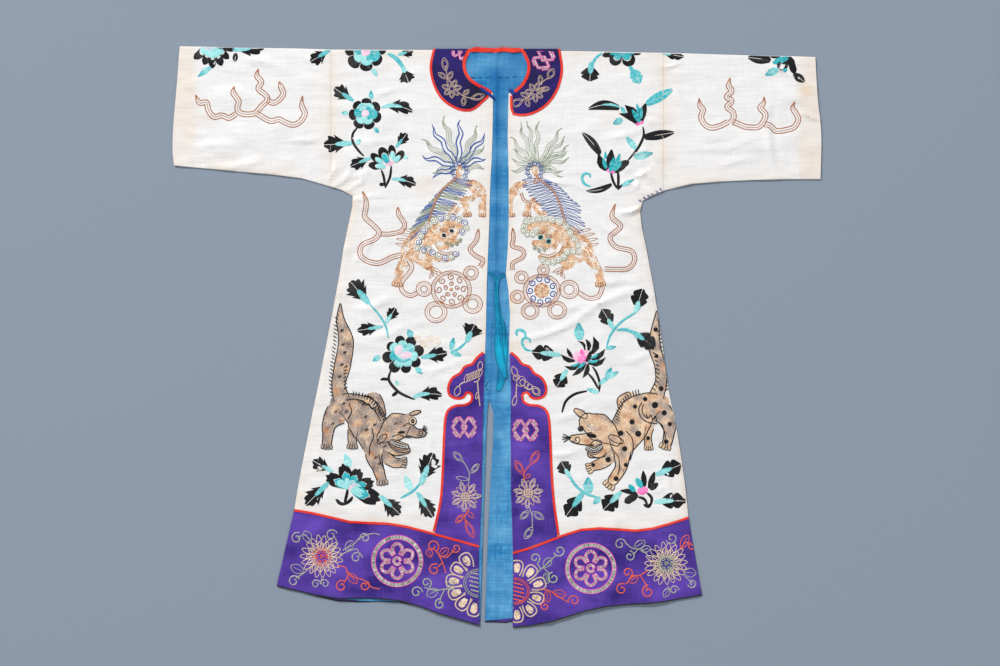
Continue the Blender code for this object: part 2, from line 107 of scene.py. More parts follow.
def makeStudio():
    scene = bpy.context.scene
    camera = addObject("camera", bpy.data.cameras.new("camera"))
    middle = at(picture["viewX"], picture["viewY"]) * mm
    camera.location = (middle.real, middle.imag, studio["cameraHeight"])
    viewWidth = picture["width"] * picture["mmPerPixel"] * mm
    camera.data.sensor_width = studio["sensor"]
    camera.data.lens = studio["sensor"] * studio["cameraHeight"] / viewWidth
    scene.camera = camera
    scene.view_settings.view_transform = "Standard"

    bpy.ops.mesh.primitive_plane_add(size=studio["floorSize"], location=(0, 0, studio["floorHeight"]))
    floor = bpy.context.object
    floor.name = "floor"
    paint = {"Base Color": studio["floorColour"], "Roughness": studio["floorRoughness"]}
    floor.data.materials.append(addMaterial("floor", paint)[0])

    addLight("key", studio["keyPlace"], studio["keySize"], studio["keyPower"])
    addLight("fill", studio["fillPlace"], studio["fillSize"], studio["fillPower"])
    world = bpy.data.worlds.new("studio")
    world.use_nodes = True
    sky = world.node_tree.nodes["Background"]
    sky.inputs["Color"].default_value = studio["skyColour"]
    sky.inputs["Strength"].default_value = studio["skyStrength"]
    scene.world = world


makeStudio()
print("studio ready")

# Node helpers, and the shader groups that several cloths share


def addNode(tree, kind, values=(), **settings):
    node = tree.nodes.new(kind)
    for key, value in settings.items():
        setattr(node, key, value)
    for key, value in dict(values).items():
        node.inputs[key].default_value = value
    return node


def addBump(tree, shader, height, strength, distance):
    bump = addNode(tree, "ShaderNodeBump", {"Strength": strength, "Distance": distance})
    tree.links.new(height, bump.inputs["Height"])
    tree.links.new(bump.outputs["Normal"], shader.inputs["Normal"])


def makeGroup(name, inputs, outputs):
    tree = bpy.data.node_groups.new(name, "ShaderNodeTree")
    for label, default in inputs.items():
        kind = "NodeSocketColor" if isinstance(default, tuple) else "NodeSocketFloat"
        tree.interface.new_socket(label, in_out="INPUT", socket_type=kind).default_value = default
    for label, kind in outputs.items():
        tree.interface.new_socket(label, in_out="OUTPUT", socket_type=kind)
    return tree, tree.nodes.new("NodeGroupInput"), tree.nodes.new("NodeGroupOutput")


def stretchedNoise(tree, stretch, scale, detail=2.0):
    # Streaks of noise: stretch is how much it is squeezed along X and Y
    place = addNode(tree, "ShaderNodeTexCoord")
    squeeze = addNode(tree, "ShaderNodeMapping", {"Scale": (stretch[0], stretch[1], 1.0)})
    noise = addNode(tree, "ShaderNodeTexNoise", {"Scale": scale, "Detail": detail})
    tree.links.new(place.outputs["Object"], squeeze.inputs["Vector"])
    tree.links.new(squeeze.outputs["Vector"], noise.inputs["Vector"])
    return noise


def mathNode(tree, operation, *sources, clamp=False):
    node = addNode(tree, "ShaderNodeMath", operation=operation, use_clamp=clamp)
    for index, source in enumerate(sources):
        if isinstance(source, (int, float)):
            node.inputs[index].default_value = source
        else:
            tree.links.new(source, node.inputs[index])
    return node.outputs[0]


def mixColour(tree, share, first, second):
    node = addNode(tree, "ShaderNodeMix", data_type="RGBA", blend_type="MIX")
    for socket, source in ((node.inputs[0], share), (node.inputs[6], first), (node.inputs[7], second)):
        if hasattr(source, "links"):
            tree.links.new(source, socket)
        else:
            socket.default_value = source
    return node.outputs[2]


def makeWeave():
    # Plain weave with thicker threads here and there. Height is for bump, Streaks for colour.
    tree, given, result = makeGroup(
        "plainWeave",
        {"Slubs": 0.5, "Blotches": 0.5, "Puckers": 0.0},
        {"Height": "NodeSocketFloat", "Streaks": "NodeSocketFloat", "Patches": "NodeSocketFloat"},
    )
    weft = stretchedNoise(tree, (0.05, 1.0), 900.0)
    warp = stretchedNoise(tree, (1.0, 0.05), 900.0)
    slub = stretchedNoise(tree, (0.09, 1.0), 230.0, 3.0)
    upright = stretchedNoise(tree, (1.0, 0.16), 190.0, 3.0)
    cloud = stretchedNoise(tree, (0.6, 1.0), 16.0, 5.0)
    crinkle = stretchedNoise(tree, (0.25, 1.0), 62.0, 3.0)

    def stronger(noise, amount):
        spread = mathNode(tree, "MULTIPLY_ADD", noise.outputs["Fac"], 2.8, -0.9, clamp=True)
        return mathNode(tree, "MULTIPLY", spread, amount)

    streaks = mathNode(tree, "ADD", stronger(slub, given.outputs["Slubs"]), stronger(upright, given.outputs["Slubs"]))
    streaks = mathNode(tree, "MULTIPLY", streaks, 0.6)
    woven = mathNode(tree, "ADD", weft.outputs["Fac"], warp.outputs["Fac"])
    raised = mathNode(tree, "ADD", mathNode(tree, "MULTIPLY", streaks, 0.6), woven)
    waves = mathNode(tree, "MULTIPLY", crinkle.outputs["Fac"], given.outputs["Puckers"])
    tree.links.new(mathNode(tree, "ADD", raised, waves), result.inputs["Height"])
    fine = mathNode(tree, "MULTIPLY", weft.outputs["Fac"], 0.35)
    tree.links.new(mathNode(tree, "ADD", streaks, fine), result.inputs["Streaks"])
    tree.links.new(stronger(cloud, given.outputs["Blotches"]), result.inputs["Patches"])
    return tree


def makeAgeingAndShade():
    # Toning towards the edges, broken up by noise, and the stains painted on the cloth's points. Both also carry
    # painted shade: along the tie's edges, and along the lining's middle fold.
    tree, given, result = makeGroup("ageingAndShade", {"ToningAndShade": 0.8, "StainsAndShade": 0.8}, {"Mask": "NodeSocketFloat"})
    cloud = stretchedNoise(tree, (1.0, 1.0), 14.0, 5.0)
    patchy = mathNode(tree, "MULTIPLY_ADD", cloud.outputs["Fac"], 1.5, -0.1)

    def painted(name, amount):
        paint = addNode(tree, "ShaderNodeAttribute", attribute_name=name)
        strength = mathNode(tree, "MULTIPLY", paint.outputs["Fac"], given.outputs[amount])
        return mathNode(tree, "MULTIPLY", strength, patchy)

    mask = mathNode(tree, "ADD", painted("edgeToneAndShade", "ToningAndShade"), painted("stainAndShade", "StainsAndShade"), clamp=True)
    tree.links.new(mask, result.inputs["Mask"])
    return tree


weave = makeWeave()
ageingAndShade = makeAgeingAndShade()

# Cloths: colours, how strong the streaks, patches and toning are, and the height of the weave. The tone colour, laid
# on by toning and stains, is also a painted shade along the tie's edges and along the lining's middle fold.
cloths = {
    "creamSilk": {
        "slot": "cream_silk", "base": (241, 240, 239), "streak": (223, 221, 219),
        "patch": (230, 228, 226), "tone": (226, 200, 170), "roughness": 0.6, "sheen": 0.12,
        "slubs": 0.45, "blotches": 0.4, "toningAndShade": 0.62, "stains": 0.8, "bump": 0.36, "puckers": 15.0,
    },
    # the lining's tone colour, laid on with its stains, is also a painted shade along its middle fold
    "blueLining": {
        "slot": "blue_lining", "base": (84, 180, 232), "streak": (30, 116, 174),
        "patch": (132, 200, 232), "tone": (18, 102, 162), "roughness": 0.9, "sheen": 0.02,
        "slubs": 1.2, "blotches": 0.6, "toningAndShade": 0.7, "stains": 1.0, "bump": 0.7, "puckers": 5.0,
    },
    "purpleSatin": {
        "slot": "purple_satin", "base": (78, 43, 167), "streak": (40, 17, 110),
        "patch": (100, 66, 178), "tone": (46, 26, 104), "roughness": 0.6, "sheen": 0.05,
        "slubs": 1.4, "blotches": 1.0, "toningAndShade": 0.35, "stains": 0.4, "bump": 0.34, "puckers": 9.0,
    },
    "collarSatin": {
        "slot": "purple_satin", "base": (20, 6, 76), "streak": (8, 2, 44),
        "patch": (38, 20, 110), "tone": (18, 8, 50), "roughness": 0.7, "sheen": 0.0,
        "slubs": 1.1, "blotches": 1.1, "toningAndShade": 0.3, "stains": 0.4, "bump": 0.32, "puckers": 6.0,
    },
    "redBinding": {
        "slot": "red_binding", "base": (246, 36, 24), "streak": (206, 34, 26),
        "patch": (246, 78, 54), "tone": (190, 34, 28), "roughness": 0.6, "sheen": 0.05,
        "slubs": 0.8, "blotches": 0.7, "toningAndShade": 0.15, "stains": 0.3, "bump": 0.5, "puckers": 2.0,
    },
    "blackBinding": {
        "slot": "black_silk", "base": (22, 22, 26), "streak": (12, 12, 14),
        "patch": (40, 40, 46), "tone": (52, 48, 48), "roughness": 0.65, "sheen": 0.15,
        "slubs": 0.8, "blotches": 0.7, "toningAndShade": 0.3, "stains": 0.3, "bump": 0.4, "puckers": 2.0,
    },
    # the tie's dark tone colour, laid on by its toning, is a painted shade along its edges, besides stains
    "tealRibbon": {
        "slot": "teal_ribbon", "base": (0, 144, 200), "streak": (0, 74, 122),
        "patch": (0, 176, 214), "tone": (0, 40, 78), "roughness": 0.75, "sheen": 0.05,
        "slubs": 0.9, "blotches": 1.0, "toningAndShade": 1.0, "stains": 0.4, "bump": 0.35, "puckers": 2.0,
    },
    "darkBlueCloth": {
        "slot": "dark_blue_cloth", "base": (20, 62, 158), "streak": (10, 40, 120),
        "patch": (34, 84, 178), "tone": (10, 32, 92), "roughness": 0.6, "sheen": 0.05,
        "slubs": 0.8, "blotches": 0.7, "toningAndShade": 0.5, "stains": 0.3, "bump": 0.4, "puckers": 2.0,
    },
}


def makeCloth(name, look):
    base, streak, patch, tone = (colour(*look[part]) for part in ("base", "streak", "patch", "tone"))
    material, tree, shader = addMaterial(name, {
        "Roughness": look["roughness"], "Sheen Weight": look["sheen"], "Sheen Roughness": 0.4,
        "Specular IOR Level": 0.3,
    })
    amounts = {"Slubs": look["slubs"], "Blotches": look["blotches"], "Puckers": look["puckers"]}
    woven = addNode(tree, "ShaderNodeGroup", amounts, node_tree=weave)
    amounts = {"ToningAndShade": look["toningAndShade"], "StainsAndShade": look["stains"]}
    agedAndShaded = addNode(tree, "ShaderNodeGroup", amounts, node_tree=ageingAndShade)
    shade = mixColour(tree, woven.outputs["Streaks"], base, streak)
    shade = mixColour(tree, woven.outputs["Patches"], shade, patch)
    shade = mixColour(tree, agedAndShaded.outputs["Mask"], shade, tone)
    tree.links.new(shade, shader.inputs["Base Color"])
    addBump(tree, shader, woven.outputs["Height"], look["bump"], 0.0004)
    return material


clothMaterials = {name: makeCloth(name, look) for name, look in cloths.items()}

# How the cloth lies, in mm: the solids' large folds, then finer creases and slack
lie = {
    # centre x, y, direction in degrees, half length, half width, height, as in the solids
    "largeFolds": (
        (-135, -560, 96, 150, 34, 2.6), (-240, -530, 100, 190, 38, 3.4), (-345, -500, 103, 170, 34, 2.8),
        (125, -560, 84, 140, 34, 2.2), (235, -520, 80, 190, 38, 3.2), (345, -490, 77, 170, 34, 2.6),
        (-250, 60, 100, 200, 40, 2.0), (230, 20, 82, 220, 40, 2.2), (-300, 390, 48, 80, 26, 2.4),
        (300, 380, 132, 80, 26, 2.6), (-520, 430, 4, 110, 30, 2.6), (-600, 520, 172, 70, 28, 2.0),
        (530, 420, 176, 110, 30, 2.4), (610, 500, 14, 60, 26, 2.2),
    ),
    # creases read in the photo's pixels: from x, y, to x, y, bow, half width in mm, height in mm
    "creases": (
        (364, 141, 408, 136, 3, 7, 1.3), (376, 97, 412, 86, -2, 8, 1.0), (350, 136, 372, 146, 2, 7, 0.9),
        (540, 184, 582, 189, -3, 7, 1.5), (628, 178, 652, 169, 2, 6, 1.6), (622, 182, 645, 193, -2, 6, 1.5),
        (616, 214, 641, 207, 2, 7, 2.2), (612, 138, 652, 124, 3, 8, 1.4), (352, 310, 388, 300, 3, 9, 1.3),
        (368, 339, 402, 330, 2, 8, 1.1), (402, 373, 442, 367, 2, 8, 1.1), (430, 376, 472, 361, -3, 8, 1.4),
        (528, 339, 582, 318, 3, 9, 2.2), (580, 318, 640, 290, -4, 10, 1.5), (588, 305, 606, 301, 1, 5, 1.6),
        (600, 283, 642, 279, 2, 9, 1.2), (562, 308, 600, 297, 3, 8, 1.3), (386, 477, 402, 474, 1, 5, 1.2),
        (354, 493, 369, 491, 1, 5, 1.1), (550, 455, 574, 453, 1, 6, 1.4), (577, 477, 590, 474, 1, 5, 1.2),
        (652, 489, 664, 488, 1, 5, 1.2), (182, 128, 206, 134, 2, 8, 1.0), (248, 61, 279, 68, -3, 8, 1.3),
        (772, 68, 798, 84, -3, 7, 1.9), (800, 110, 820, 120, 2, 6, 2.4), (767, 104, 775, 176, 3, 8, 1.5),
        (644, 117, 664, 125, 2, 7, 1.3), (641, 167, 654, 181, 2, 5, 1.6), (648, 163, 664, 176, -2, 6, 1.3),
        (660, 67, 680, 63, 2, 6, 1.4), (634, 190, 640, 172, 2, 5, 1.3), (336, 186, 352, 168, 3, 6, 1.5),
        (344, 192, 366, 178, 2, 7, 1.4), (352, 202, 384, 196, -2, 7, 1.3), (328, 180, 338, 160, 2, 6, 1.2),
        (218, 168, 262, 160, 3, 9, 1.2), (196, 150, 236, 146, -3, 9, 1.0), (286, 142, 322, 138, 2, 8, 1.0),
        (700, 150, 744, 144, 3, 9, 1.1), (722, 166, 764, 160, -2, 8, 1.0), (676, 88, 690, 116, 3, 7, 1.2),
        (356, 262, 372, 236, 3, 8, 1.2), (410, 322, 448, 318, 2, 7, 1.0), (346, 420, 322, 430, 2, 7, 1.0),
        (430, 440, 440, 478, 3, 7, 1.1), (600, 226, 634, 236, 3, 8, 1.2), (628, 362, 650, 352, 2, 8, 1.1),
        (556, 420, 590, 404, 3, 8, 1.1), (420, 152, 446, 150, 2, 7, 1.0), (500, 152, 520, 146, 2, 6, 1.0),
        (318, 452, 330, 498, 3, 8, 1.2), (668, 470, 676, 508, 3, 7, 1.2), (300, 522, 330, 560, 4, 9, 1.2),
        (352, 530, 372, 592, 3, 9, 1.3), (416, 540, 430, 602, 4, 9, 1.4), (470, 540, 478, 600, 2, 8, 1.0),
        (536, 548, 546, 612, -3, 8, 1.1), (612, 528, 624, 594, 3, 9, 1.3), (650, 524, 646, 596, -3, 9, 1.2),
        (686, 540, 694, 588, 2, 7, 1.0), (452, 400, 470, 404, 2, 6, 1.2), (448, 448, 476, 444, -2, 7, 1.0),
        (495.2, 280, 496.6, 307, 0.4, 1.5, 1.3), (496.4, 302, 502.6, 330, 0.5, 1.5, 1.4),
        (498.4, 318, 501, 352, 0.4, 1.6, 1.2),
        (503.5, 318, 504.5, 352, -0.5, 1.5, 1.1), (352, 178, 372, 168, 2, 5, 1.3), (348, 152, 362, 160, 2, 5, 1.2),
        (636, 176, 622, 168, 2, 5, 1.4), (640, 206, 622, 214, -2, 6, 1.3), (646, 150, 630, 158, 2, 6, 1.2),
        (512, 398, 534, 392, 2, 6, 1.4), (516, 446, 546, 450, 2, 7, 1.1), (452, 512, 474, 518, 2, 7, 1.0),
        (520, 508, 548, 514, -2, 7, 1.0), (432, 82, 452, 96, 2, 6, 0.9), (540, 98, 558, 84, 2, 6, 0.9),
    ),
    # slack in the silk: wave length along x and y, height, turn
    "slack": (
        (310, 96, 0.32, 0.4), (170, 61, 0.24, 2.1), (97, 43, 0.15, 4.0), (-236, 74, 0.24, 1.2),
        (-128, 38, 0.13, 5.1), (74, -131, 0.14, 0.9), (53, 29, 0.08, 3.3),
    ),
    # the shoulder fold, x and y
    "topX": (-697, -682, -425, -357, -56, 51, 357, 426, 619, 684, 697),
    "topY": (625, 625, 620, 617.3, 616.3, 616.3, 610.3, 609, 604, 602, 602),
    "creaseScale": 2.1,
    "slackScale": 1.9,
    "top": (1.2, 2.5),  # between these heights a point of the solid begins to belong to its top
}


def ease(value, low, high):
    share = np.clip((value - low) / (high - low), 0, 1)
    return share * share * (3 - 2 * share)


def topOf(x):  # the shoulder fold's y
    return np.interp(x, lie["topX"], lie["topY"])


def largeFold(x, y):
    reach = 180 - 120 * ease(-y, 470, 540)
    calm = ease(abs(x), reach, reach + 40) * ease(np.hypot(x, y - 616), 190, 240) * ease(616 - y, 15, 60)
    height = np.zeros_like(x)
    for middleX, middleY, degrees, halfLength, halfWidth, top in lie["largeFolds"]:
        turn = cmath.exp(1j * math.radians(degrees))
        away = ((x - middleX) + 1j * (y - middleY)) / turn
        height += top * np.exp(-((away.imag / halfWidth) ** 2) - (away.real / halfLength) ** 4)
    return height * calm


def drape(x, y):
    height = largeFold(x, y)
    spot = x + 1j * y
    for fromX, fromY, toX, toY, bow, halfWidth, top in lie["creases"]:
        start, end = at(fromX, fromY), at(toX, toY)
        away = (spot - start) / (end - start)
        side = away.imag * abs(end - start) + bow * picture["mmPerPixel"] * 4 * away.real * (1 - away.real)
        side = np.where(side > 0, side, side * 1.7) / halfWidth
        along = ease(away.real, -0.25, 0.3) * ease(-away.real, -1.25, -0.6)
        ridge = np.exp(-(side**2)) - 0.45 * np.exp(-((side - 1.9) ** 2) / 0.7)
        height += lie["creaseScale"] * top * along * ridge
    for waveX, waveY, top, turn in lie["slack"]:
        bend = turn + 1.3 * np.sin(x / 61 + turn) + np.sin(y / 47)
        height += lie["slackScale"] * top * np.sin(6.28 * (x / waveX + y / waveY) + bend)
    return np.maximum(height * ease(topOf(x) - y, 2, 30), -0.15)


# Stains on the cream silk: x, y in the photo's pixels, radius in mm, strength
stains = (
    (424, 186, 42, 0.5), (444, 182, 26, 0.5), (428, 344, 24, 0.35), (478, 356, 36, 0.4), (484, 330, 24, 0.35),
    (372, 520, 20, 0.4), (352, 205, 26, 0.4), (640, 214, 24, 0.5), (652, 176, 30, 0.3), (206, 120, 30, 0.25),
    (186, 96, 34, 0.3), (806, 90, 30, 0.4), (662, 70, 22, 0.35), (612, 116, 40, 0.22), (430, 62, 30, 0.25),
    (300, 498, 30, 0.35), (320, 470, 18, 0.4), (560, 380, 40, 0.25), (520, 345, 30, 0.3), (690, 498, 22, 0.4),
    (336, 372, 20, 0.35), (484, 214, 16, 0.5), (484, 262, 16, 0.5), (512, 300, 18, 0.5), (396, 516, 14, 0.4),
)

# Pieces of cloth: what they are made of and how fine their points lie, in mm
clothPieces = {
    "front": ("creamSilk", 6.5), "back": ("creamSilk", 60), "sleeve": ("creamSilk", 6.5),
    "lining": ("blueLining", 9), "collar": ("collarSatin", 6), "border": ("purpleSatin", 6),
    "hem_band_front": ("purpleSatin", 6.5), "hem_band_back": ("purpleSatin", 60),
}
trimPieces = {
    "neck_edge": ("redBinding", 5), "collar_edge": ("redBinding", 5), "border_edge": ("redBinding", 5),
    "band_piping_front": ("redBinding", 5), "band_piping_back": ("redBinding", 60),
    "hem_binding_front": ("blackBinding", 6), "hem_binding_back": ("blackBinding", 6),
    "tie": ("tealRibbon", 1.4), "neck_tie": ("darkBlueCloth", 3),
}
# Bindings and ties: their rounded edges, in mm and from an angle in degrees on, and their puckers and ruffle
trimRound = {"width": 0.38, "segments": 2, "from": 50, "pucker": 0.22, "puckerLength": 5.5, "ruffle": 1.1}
robePieces = {}


def readPoints(mesh):
    co = np.zeros(len(mesh.vertices) * 3)
    mesh.vertices.foreach_get("co", co)
    return co.reshape(-1, 3) / mm


def cutFine(bm, grid):
    # Rows and columns of points, so that the cloth can bend
    low = [min(v.co[axis] for v in bm.verts) for axis in range(2)]
    high = [max(v.co[axis] for v in bm.verts) for axis in range(2)]
    for axis in range(2):
        normal = [0, 0, 0]
        normal[axis] = 1
        count = int((high[axis] - low[axis]) / (grid * mm))
        for step in range(1, count + 1):
            place = [0, 0, 0]
            place[axis] = low[axis] + (high[axis] - low[axis]) * step / (count + 1)
            geometry = bm.verts[:] + bm.edges[:] + bm.faces[:]
            bmesh.ops.bisect_plane(bm, geom=geometry, plane_co=place, plane_no=normal, dist=1e-6)


def paintPoints(mesh, name, values):
    mesh.attributes.new(name, "FLOAT", "POINT").data.foreach_set("value", values.astype(np.float32))


# Toning, in mm: how far it reaches from the edges, and where the darker cuffs begin and are full. On the tie its
# narrow reach makes a painted shade along the ribbon's edges.
wearAndShade = {"edge": 13, "ribbonEdgeShade": 2.2, "cuff": (634, 660), "cuffTone": 0.75}


def addTones(mesh, points):
    # How near each point is to the piece's edge, and the stains, with painted shade along the tie's edges and along
    # the lining's middle fold
    rim = {v for face in mesh.polygons if abs(face.normal.z) < 0.3 for v in face.vertices}
    tree = KDTree(len(rim))
    for index in rim:
        tree.insert(Vector(points[index]), index)
    tree.balance()
    away = np.array([tree.find(Vector(p))[2] for p in points])
    x, y = points[:, 0], points[:, 1]
    cuff = ease(abs(x), *wearAndShade["cuff"]) * wearAndShade["cuffTone"]
    # on the tie the toning reaches only a narrow rim: a painted shade along its edges
    reach = wearAndShade["ribbonEdgeShade" if mesh.name.startswith("tie") else "edge"]
    tone = np.maximum(np.exp(-away / reach) * 0.9, cuff)
    stainAndShade = np.zeros(len(points))
    for px, py, radius, strength in stains:
        middle = at(px, py)
        spread = np.hypot(x - middle.real, (y - middle.imag) * 1.3)
        stainAndShade = np.maximum(stainAndShade, strength * ease(-spread, -radius, -radius * 0.2))
    if mesh.name.startswith("lining"):  # darker towards the neck, with a painted shade along the fold down the middle
        # painted shade along the lining's middle fold, added to its stains
        fold = 0.26 * np.exp(-(((x - 1.5) / 5) ** 2)) * ease(570 - y, 0, 60)
        stainAndShade = np.maximum(stainAndShade, 0.34 * ease(y, -540, 300) + 0.3 * ease(y, 380, 560) + fold)
    paintPoints(mesh, "edgeToneAndShade", tone)
    paintPoints(mesh, "stainAndShade", stainAndShade)


def tuckNeck(points, edge):
    # The neckline of a front stays under the binding of its collar, seen from the middle of the neck
    middle = at(497, 72)
    flat = points[:, 0] + 1j * points[:, 1] - middle
    rim = edge[:, 0] + 1j * edge[:, 1] - middle
    angles = np.linspace(-math.pi, math.pi, 73)
    inner = [min(abs(rim[abs(np.angle(rim * np.exp(-1j * angle))) < 0.1]), default=0) for angle in angles]
    least = np.interp(np.angle(flat), angles, inner) + 1.8
    near = (abs(flat) < least) & (abs(flat) > least - 6)
    moved = (middle + flat / abs(flat) * least)[near]
    points[near, 0], points[near, 1] = moved.real, moved.imag


def cutCloth(node, grid):
    # The solid's mesh with fine rows of points, and with the large folds taken out of its top
    mesh = nodes[node].data.copy()
    mesh.name = node + "_cloth"
    if "custom_normal" in mesh.attributes:
        mesh.attributes.remove(mesh.attributes["custom_normal"])
    bm = bmesh.new()
    bm.from_mesh(mesh)
    bmesh.ops.remove_doubles(bm, verts=bm.verts, dist=1e-5)
    coarse = np.array([v.co for v in bm.verts]) / mm
    for vert, fold in zip(bm.verts, largeFold(coarse[:, 0], coarse[:, 1])):
        if vert.co.z / mm - fold > 2.4 and fold > 0:  # only what lies above the back
            vert.co.z -= fold * mm
    cutFine(bm, grid)
    bm.to_mesh(mesh)
    bm.free()
    return mesh


def bendCloth(node, points, trim):
    # Lift the points, in mm, to where the soft cloth lies
    x, y, z = points.T
    if node.startswith("lining"):
        z += liningLift(x, y)
    else:
        lift = drape(x, y)
        if trim:
            along = (x + 0.7 * y) / trimRound["puckerLength"]
            lift = lift + trimRound["pucker"] * np.sin(along) * np.sin(along * 0.37 + 1)
        z += ease(z, *lie["top"]) * lift
    if node == "neck_binding":  # ruffled, and a little wider than the solid
        wave = np.sin(x / 4.2 + 1.2 * np.sin(x / 11))
        x += (x - x.mean()) * 0.07
        z += trimRound["ruffle"] * (1 + wave)
        y += 0.8 * np.sin(x / 6.5)
    if node.startswith("front"):
        tuckNeck(points, readPoints(nodes[node.replace("front", "neck_edge")].data))


def fineCloth(node, material, grid, trim=False):
    mesh = cutCloth(node, grid)
    points = readPoints(mesh)
    bendCloth(node, points, trim)
    mesh.vertices.foreach_set("co", (points * mm).ravel())
    addTones(mesh, points)
    mesh.shade_smooth()
    mesh.set_sharp_from_angle(angle=math.radians(38))
    mesh.materials.clear()
    mesh.materials.append(clothMaterials[material])
    piece = addObject(node + "_cloth", mesh)
    if trim:
        bevel = piece.modifiers.new("soft edge", "BEVEL")
        bevel.width = trimRound["width"] * mm
        bevel.segments = trimRound["segments"]
        bevel.limit_method = "ANGLE"
        bevel.angle_limit = math.radians(trimRound["from"])
    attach(piece, "root")
    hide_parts(node)
    robePieces[node] = piece


# The lining between the fronts: a raised seam down the middle, creases across it, and slack
liningValues = {"seamHalfWidth": 7, "seamHeight": 0.5, "creaseEvery": 46, "creaseHeight": 0.22, "hiddenFrom": 70}


def liningLift(x, y):
    seen = ease(-abs(x), -liningValues["hiddenFrom"], -24)
    seam = liningValues["seamHeight"] * np.exp(-(((x + 4) / liningValues["seamHalfWidth"]) ** 4))
    across = np.sin(6.28 * y / liningValues["creaseEvery"] + 2 * np.sin(y / 37) + x / 13)
    return seen * (seam * ease(y, 60, 160) + liningValues["creaseHeight"] * (1 + across))


for side in ("left", "right"):
    for prefix, (material, grid) in clothPieces.items():
        fineCloth(f"{prefix}_{side}", material, grid)
    for prefix, (material, grid) in trimPieces.items():
        fineCloth(f"{prefix}_{side}", material, grid, trim=True)
fineCloth("neck_binding", "redBinding", 2.5, trim=True)
print("cloth laid:", len(robePieces), "pieces")

# Threads: record slot, deep and pale colour, roughness and metal share
threadKinds = {
    "black": ("black_silk", (8, 8, 10), (46, 44, 48), 0.42, 0.0),
    "turquoise": ("turquoise_silk", (0, 174, 184), (180, 236, 234), 0.4, 0.0),
    "pink": ("pink_silk", (250, 84, 184), (252, 222, 232), 0.42, 0.0),
    "magenta": ("pink_silk", (232, 60, 170), (250, 130, 205), 0.45, 0.0),
    "copper": ("metal_thread", (158, 84, 44), (244, 206, 168), 0.45, 0.2),
    "gold": ("metal_thread", (168, 134, 108), (248, 224, 198), 0.42, 0.2),
    "silver": ("metal_thread", (96, 100, 98), (216, 214, 204), 0.42, 0.3),
    "sage": ("metal_thread", (118, 134, 108), (196, 204, 180), 0.45, 0.1),
    "royal": ("metal_thread", (18, 66, 150), (104, 144, 204), 0.45, 0.1),
    "vermilion": ("metal_thread", (206, 60, 48), (244, 124, 96), 0.45, 0.2),
    "tan": ("metal_thread", (180, 130, 92), (246, 222, 190), 0.5, 0.1),
    "ash": ("metal_thread", (112, 98, 98), (212, 190, 172), 0.5, 0.1),
    "white": ("cream_silk", (214, 208, 200), (250, 246, 240), 0.5, 0.0),
}


def makeTwist():
    # Each thread's shade lies between its deep and its pale colour, with fine breaks in the twist.
    tree, given, result = makeGroup(
        "twistedThread",
        {"Deep": (0, 0, 0, 1), "Pale": (1, 1, 1, 1), "Breaks": 0.3},
        {"Color": "NodeSocketColor", "Height": "NodeSocketFloat"},
    )
    tone = addNode(tree, "ShaderNodeAttribute", attribute_name="tone")
    grain = stretchedNoise(tree, (1.0, 1.0), 1500.0)
    shift = mathNode(tree, "MULTIPLY", mathNode(tree, "SUBTRACT", grain.outputs["Fac"], 0.5), given.outputs["Breaks"])
    share = mathNode(tree, "ADD", tone.outputs["Fac"], shift, clamp=True)
    tree.links.new(mixColour(tree, share, given.outputs["Deep"], given.outputs["Pale"]), result.inputs["Color"])
    tree.links.new(grain.outputs["Fac"], result.inputs["Height"])
    return tree


twist = makeTwist()


def makeThread(name, deep, pale, roughness, metal):
    material, tree, shader = addMaterial(name + "Thread", {
        "Roughness": roughness, "Metallic": metal, "Sheen Weight": 0.04, "Specular IOR Level": 0.26,
    })
    shades = {"Deep": colour(*deep), "Pale": colour(*pale), "Breaks": 0.4}
    twisted = addNode(tree, "ShaderNodeGroup", shades, node_tree=twist)
    tree.links.new(twisted.outputs["Color"], shader.inputs["Base Color"])
    addBump(tree, shader, twisted.outputs["Height"], 0.3, 0.0002)
    return material


# Sewing tools. Places are robe millimetres as x + y*1j, heights are above the cloth.
sewn = {}
sewingPlace = {"name": "", "level": 0.0}
stitch = {
    "pitch": 1.15, "rise": 0.64, "shape": (0, 0.14, 0.86, 1), "arch": (0.25, 1, 1, 0.25), "sides": (0.45, 1, 0.45),
    "cordStep": 2.3, "cordRise": 0.75, "cord": ((-0.5, -0.25, 0.25, 0.5), (0.1, 1, 1, 0.1)),
    "pairOfCords": ((-0.5, -0.28, 0, 0.28, 0.5), (0.1, 1, 0.4, 1, 0.1)),
    "cordGlint": 0.22, "glintPace": 2.4, "cordSpread": 0.08,  # how the tone changes along a cord
    "stemLean": 1.2, "fillRise": 0.45,
}


def sewOn(name):  # the piece of cloth that is sewn on from now
    sewingPlace["name"] = name


def raiseTo(level):  # how high the stitches lie from now, over what is sewn already
    sewingPlace["level"] = level


def sew(kind, points, heights, tones, faces):
    empty = {"points": [], "heights": [], "tones": [], "faces": [], "count": 0}
    store = sewn.setdefault((sewingPlace["name"], kind), empty)
    points, heights, tones = (np.asarray(part).ravel() for part in np.broadcast_arrays(points, heights, tones))
    store["points"].append(points)
    store["heights"].append(heights + sewingPlace["level"])
    store["tones"].append(tones)
    store["faces"].append(faces + store["count"])
    store["count"] += len(points)


def gridFaces(count, rows, columns):
    # Quads of count separate grids of points
    corner = np.arange(rows - 1)[:, None] * columns + np.arange(columns - 1)
    quad = np.stack([corner, corner + 1, corner + columns + 1, corner + columns], axis=-1).reshape(-1, 4)
    return (np.arange(count)[:, None, None] * rows * columns + quad).reshape(-1, 4)


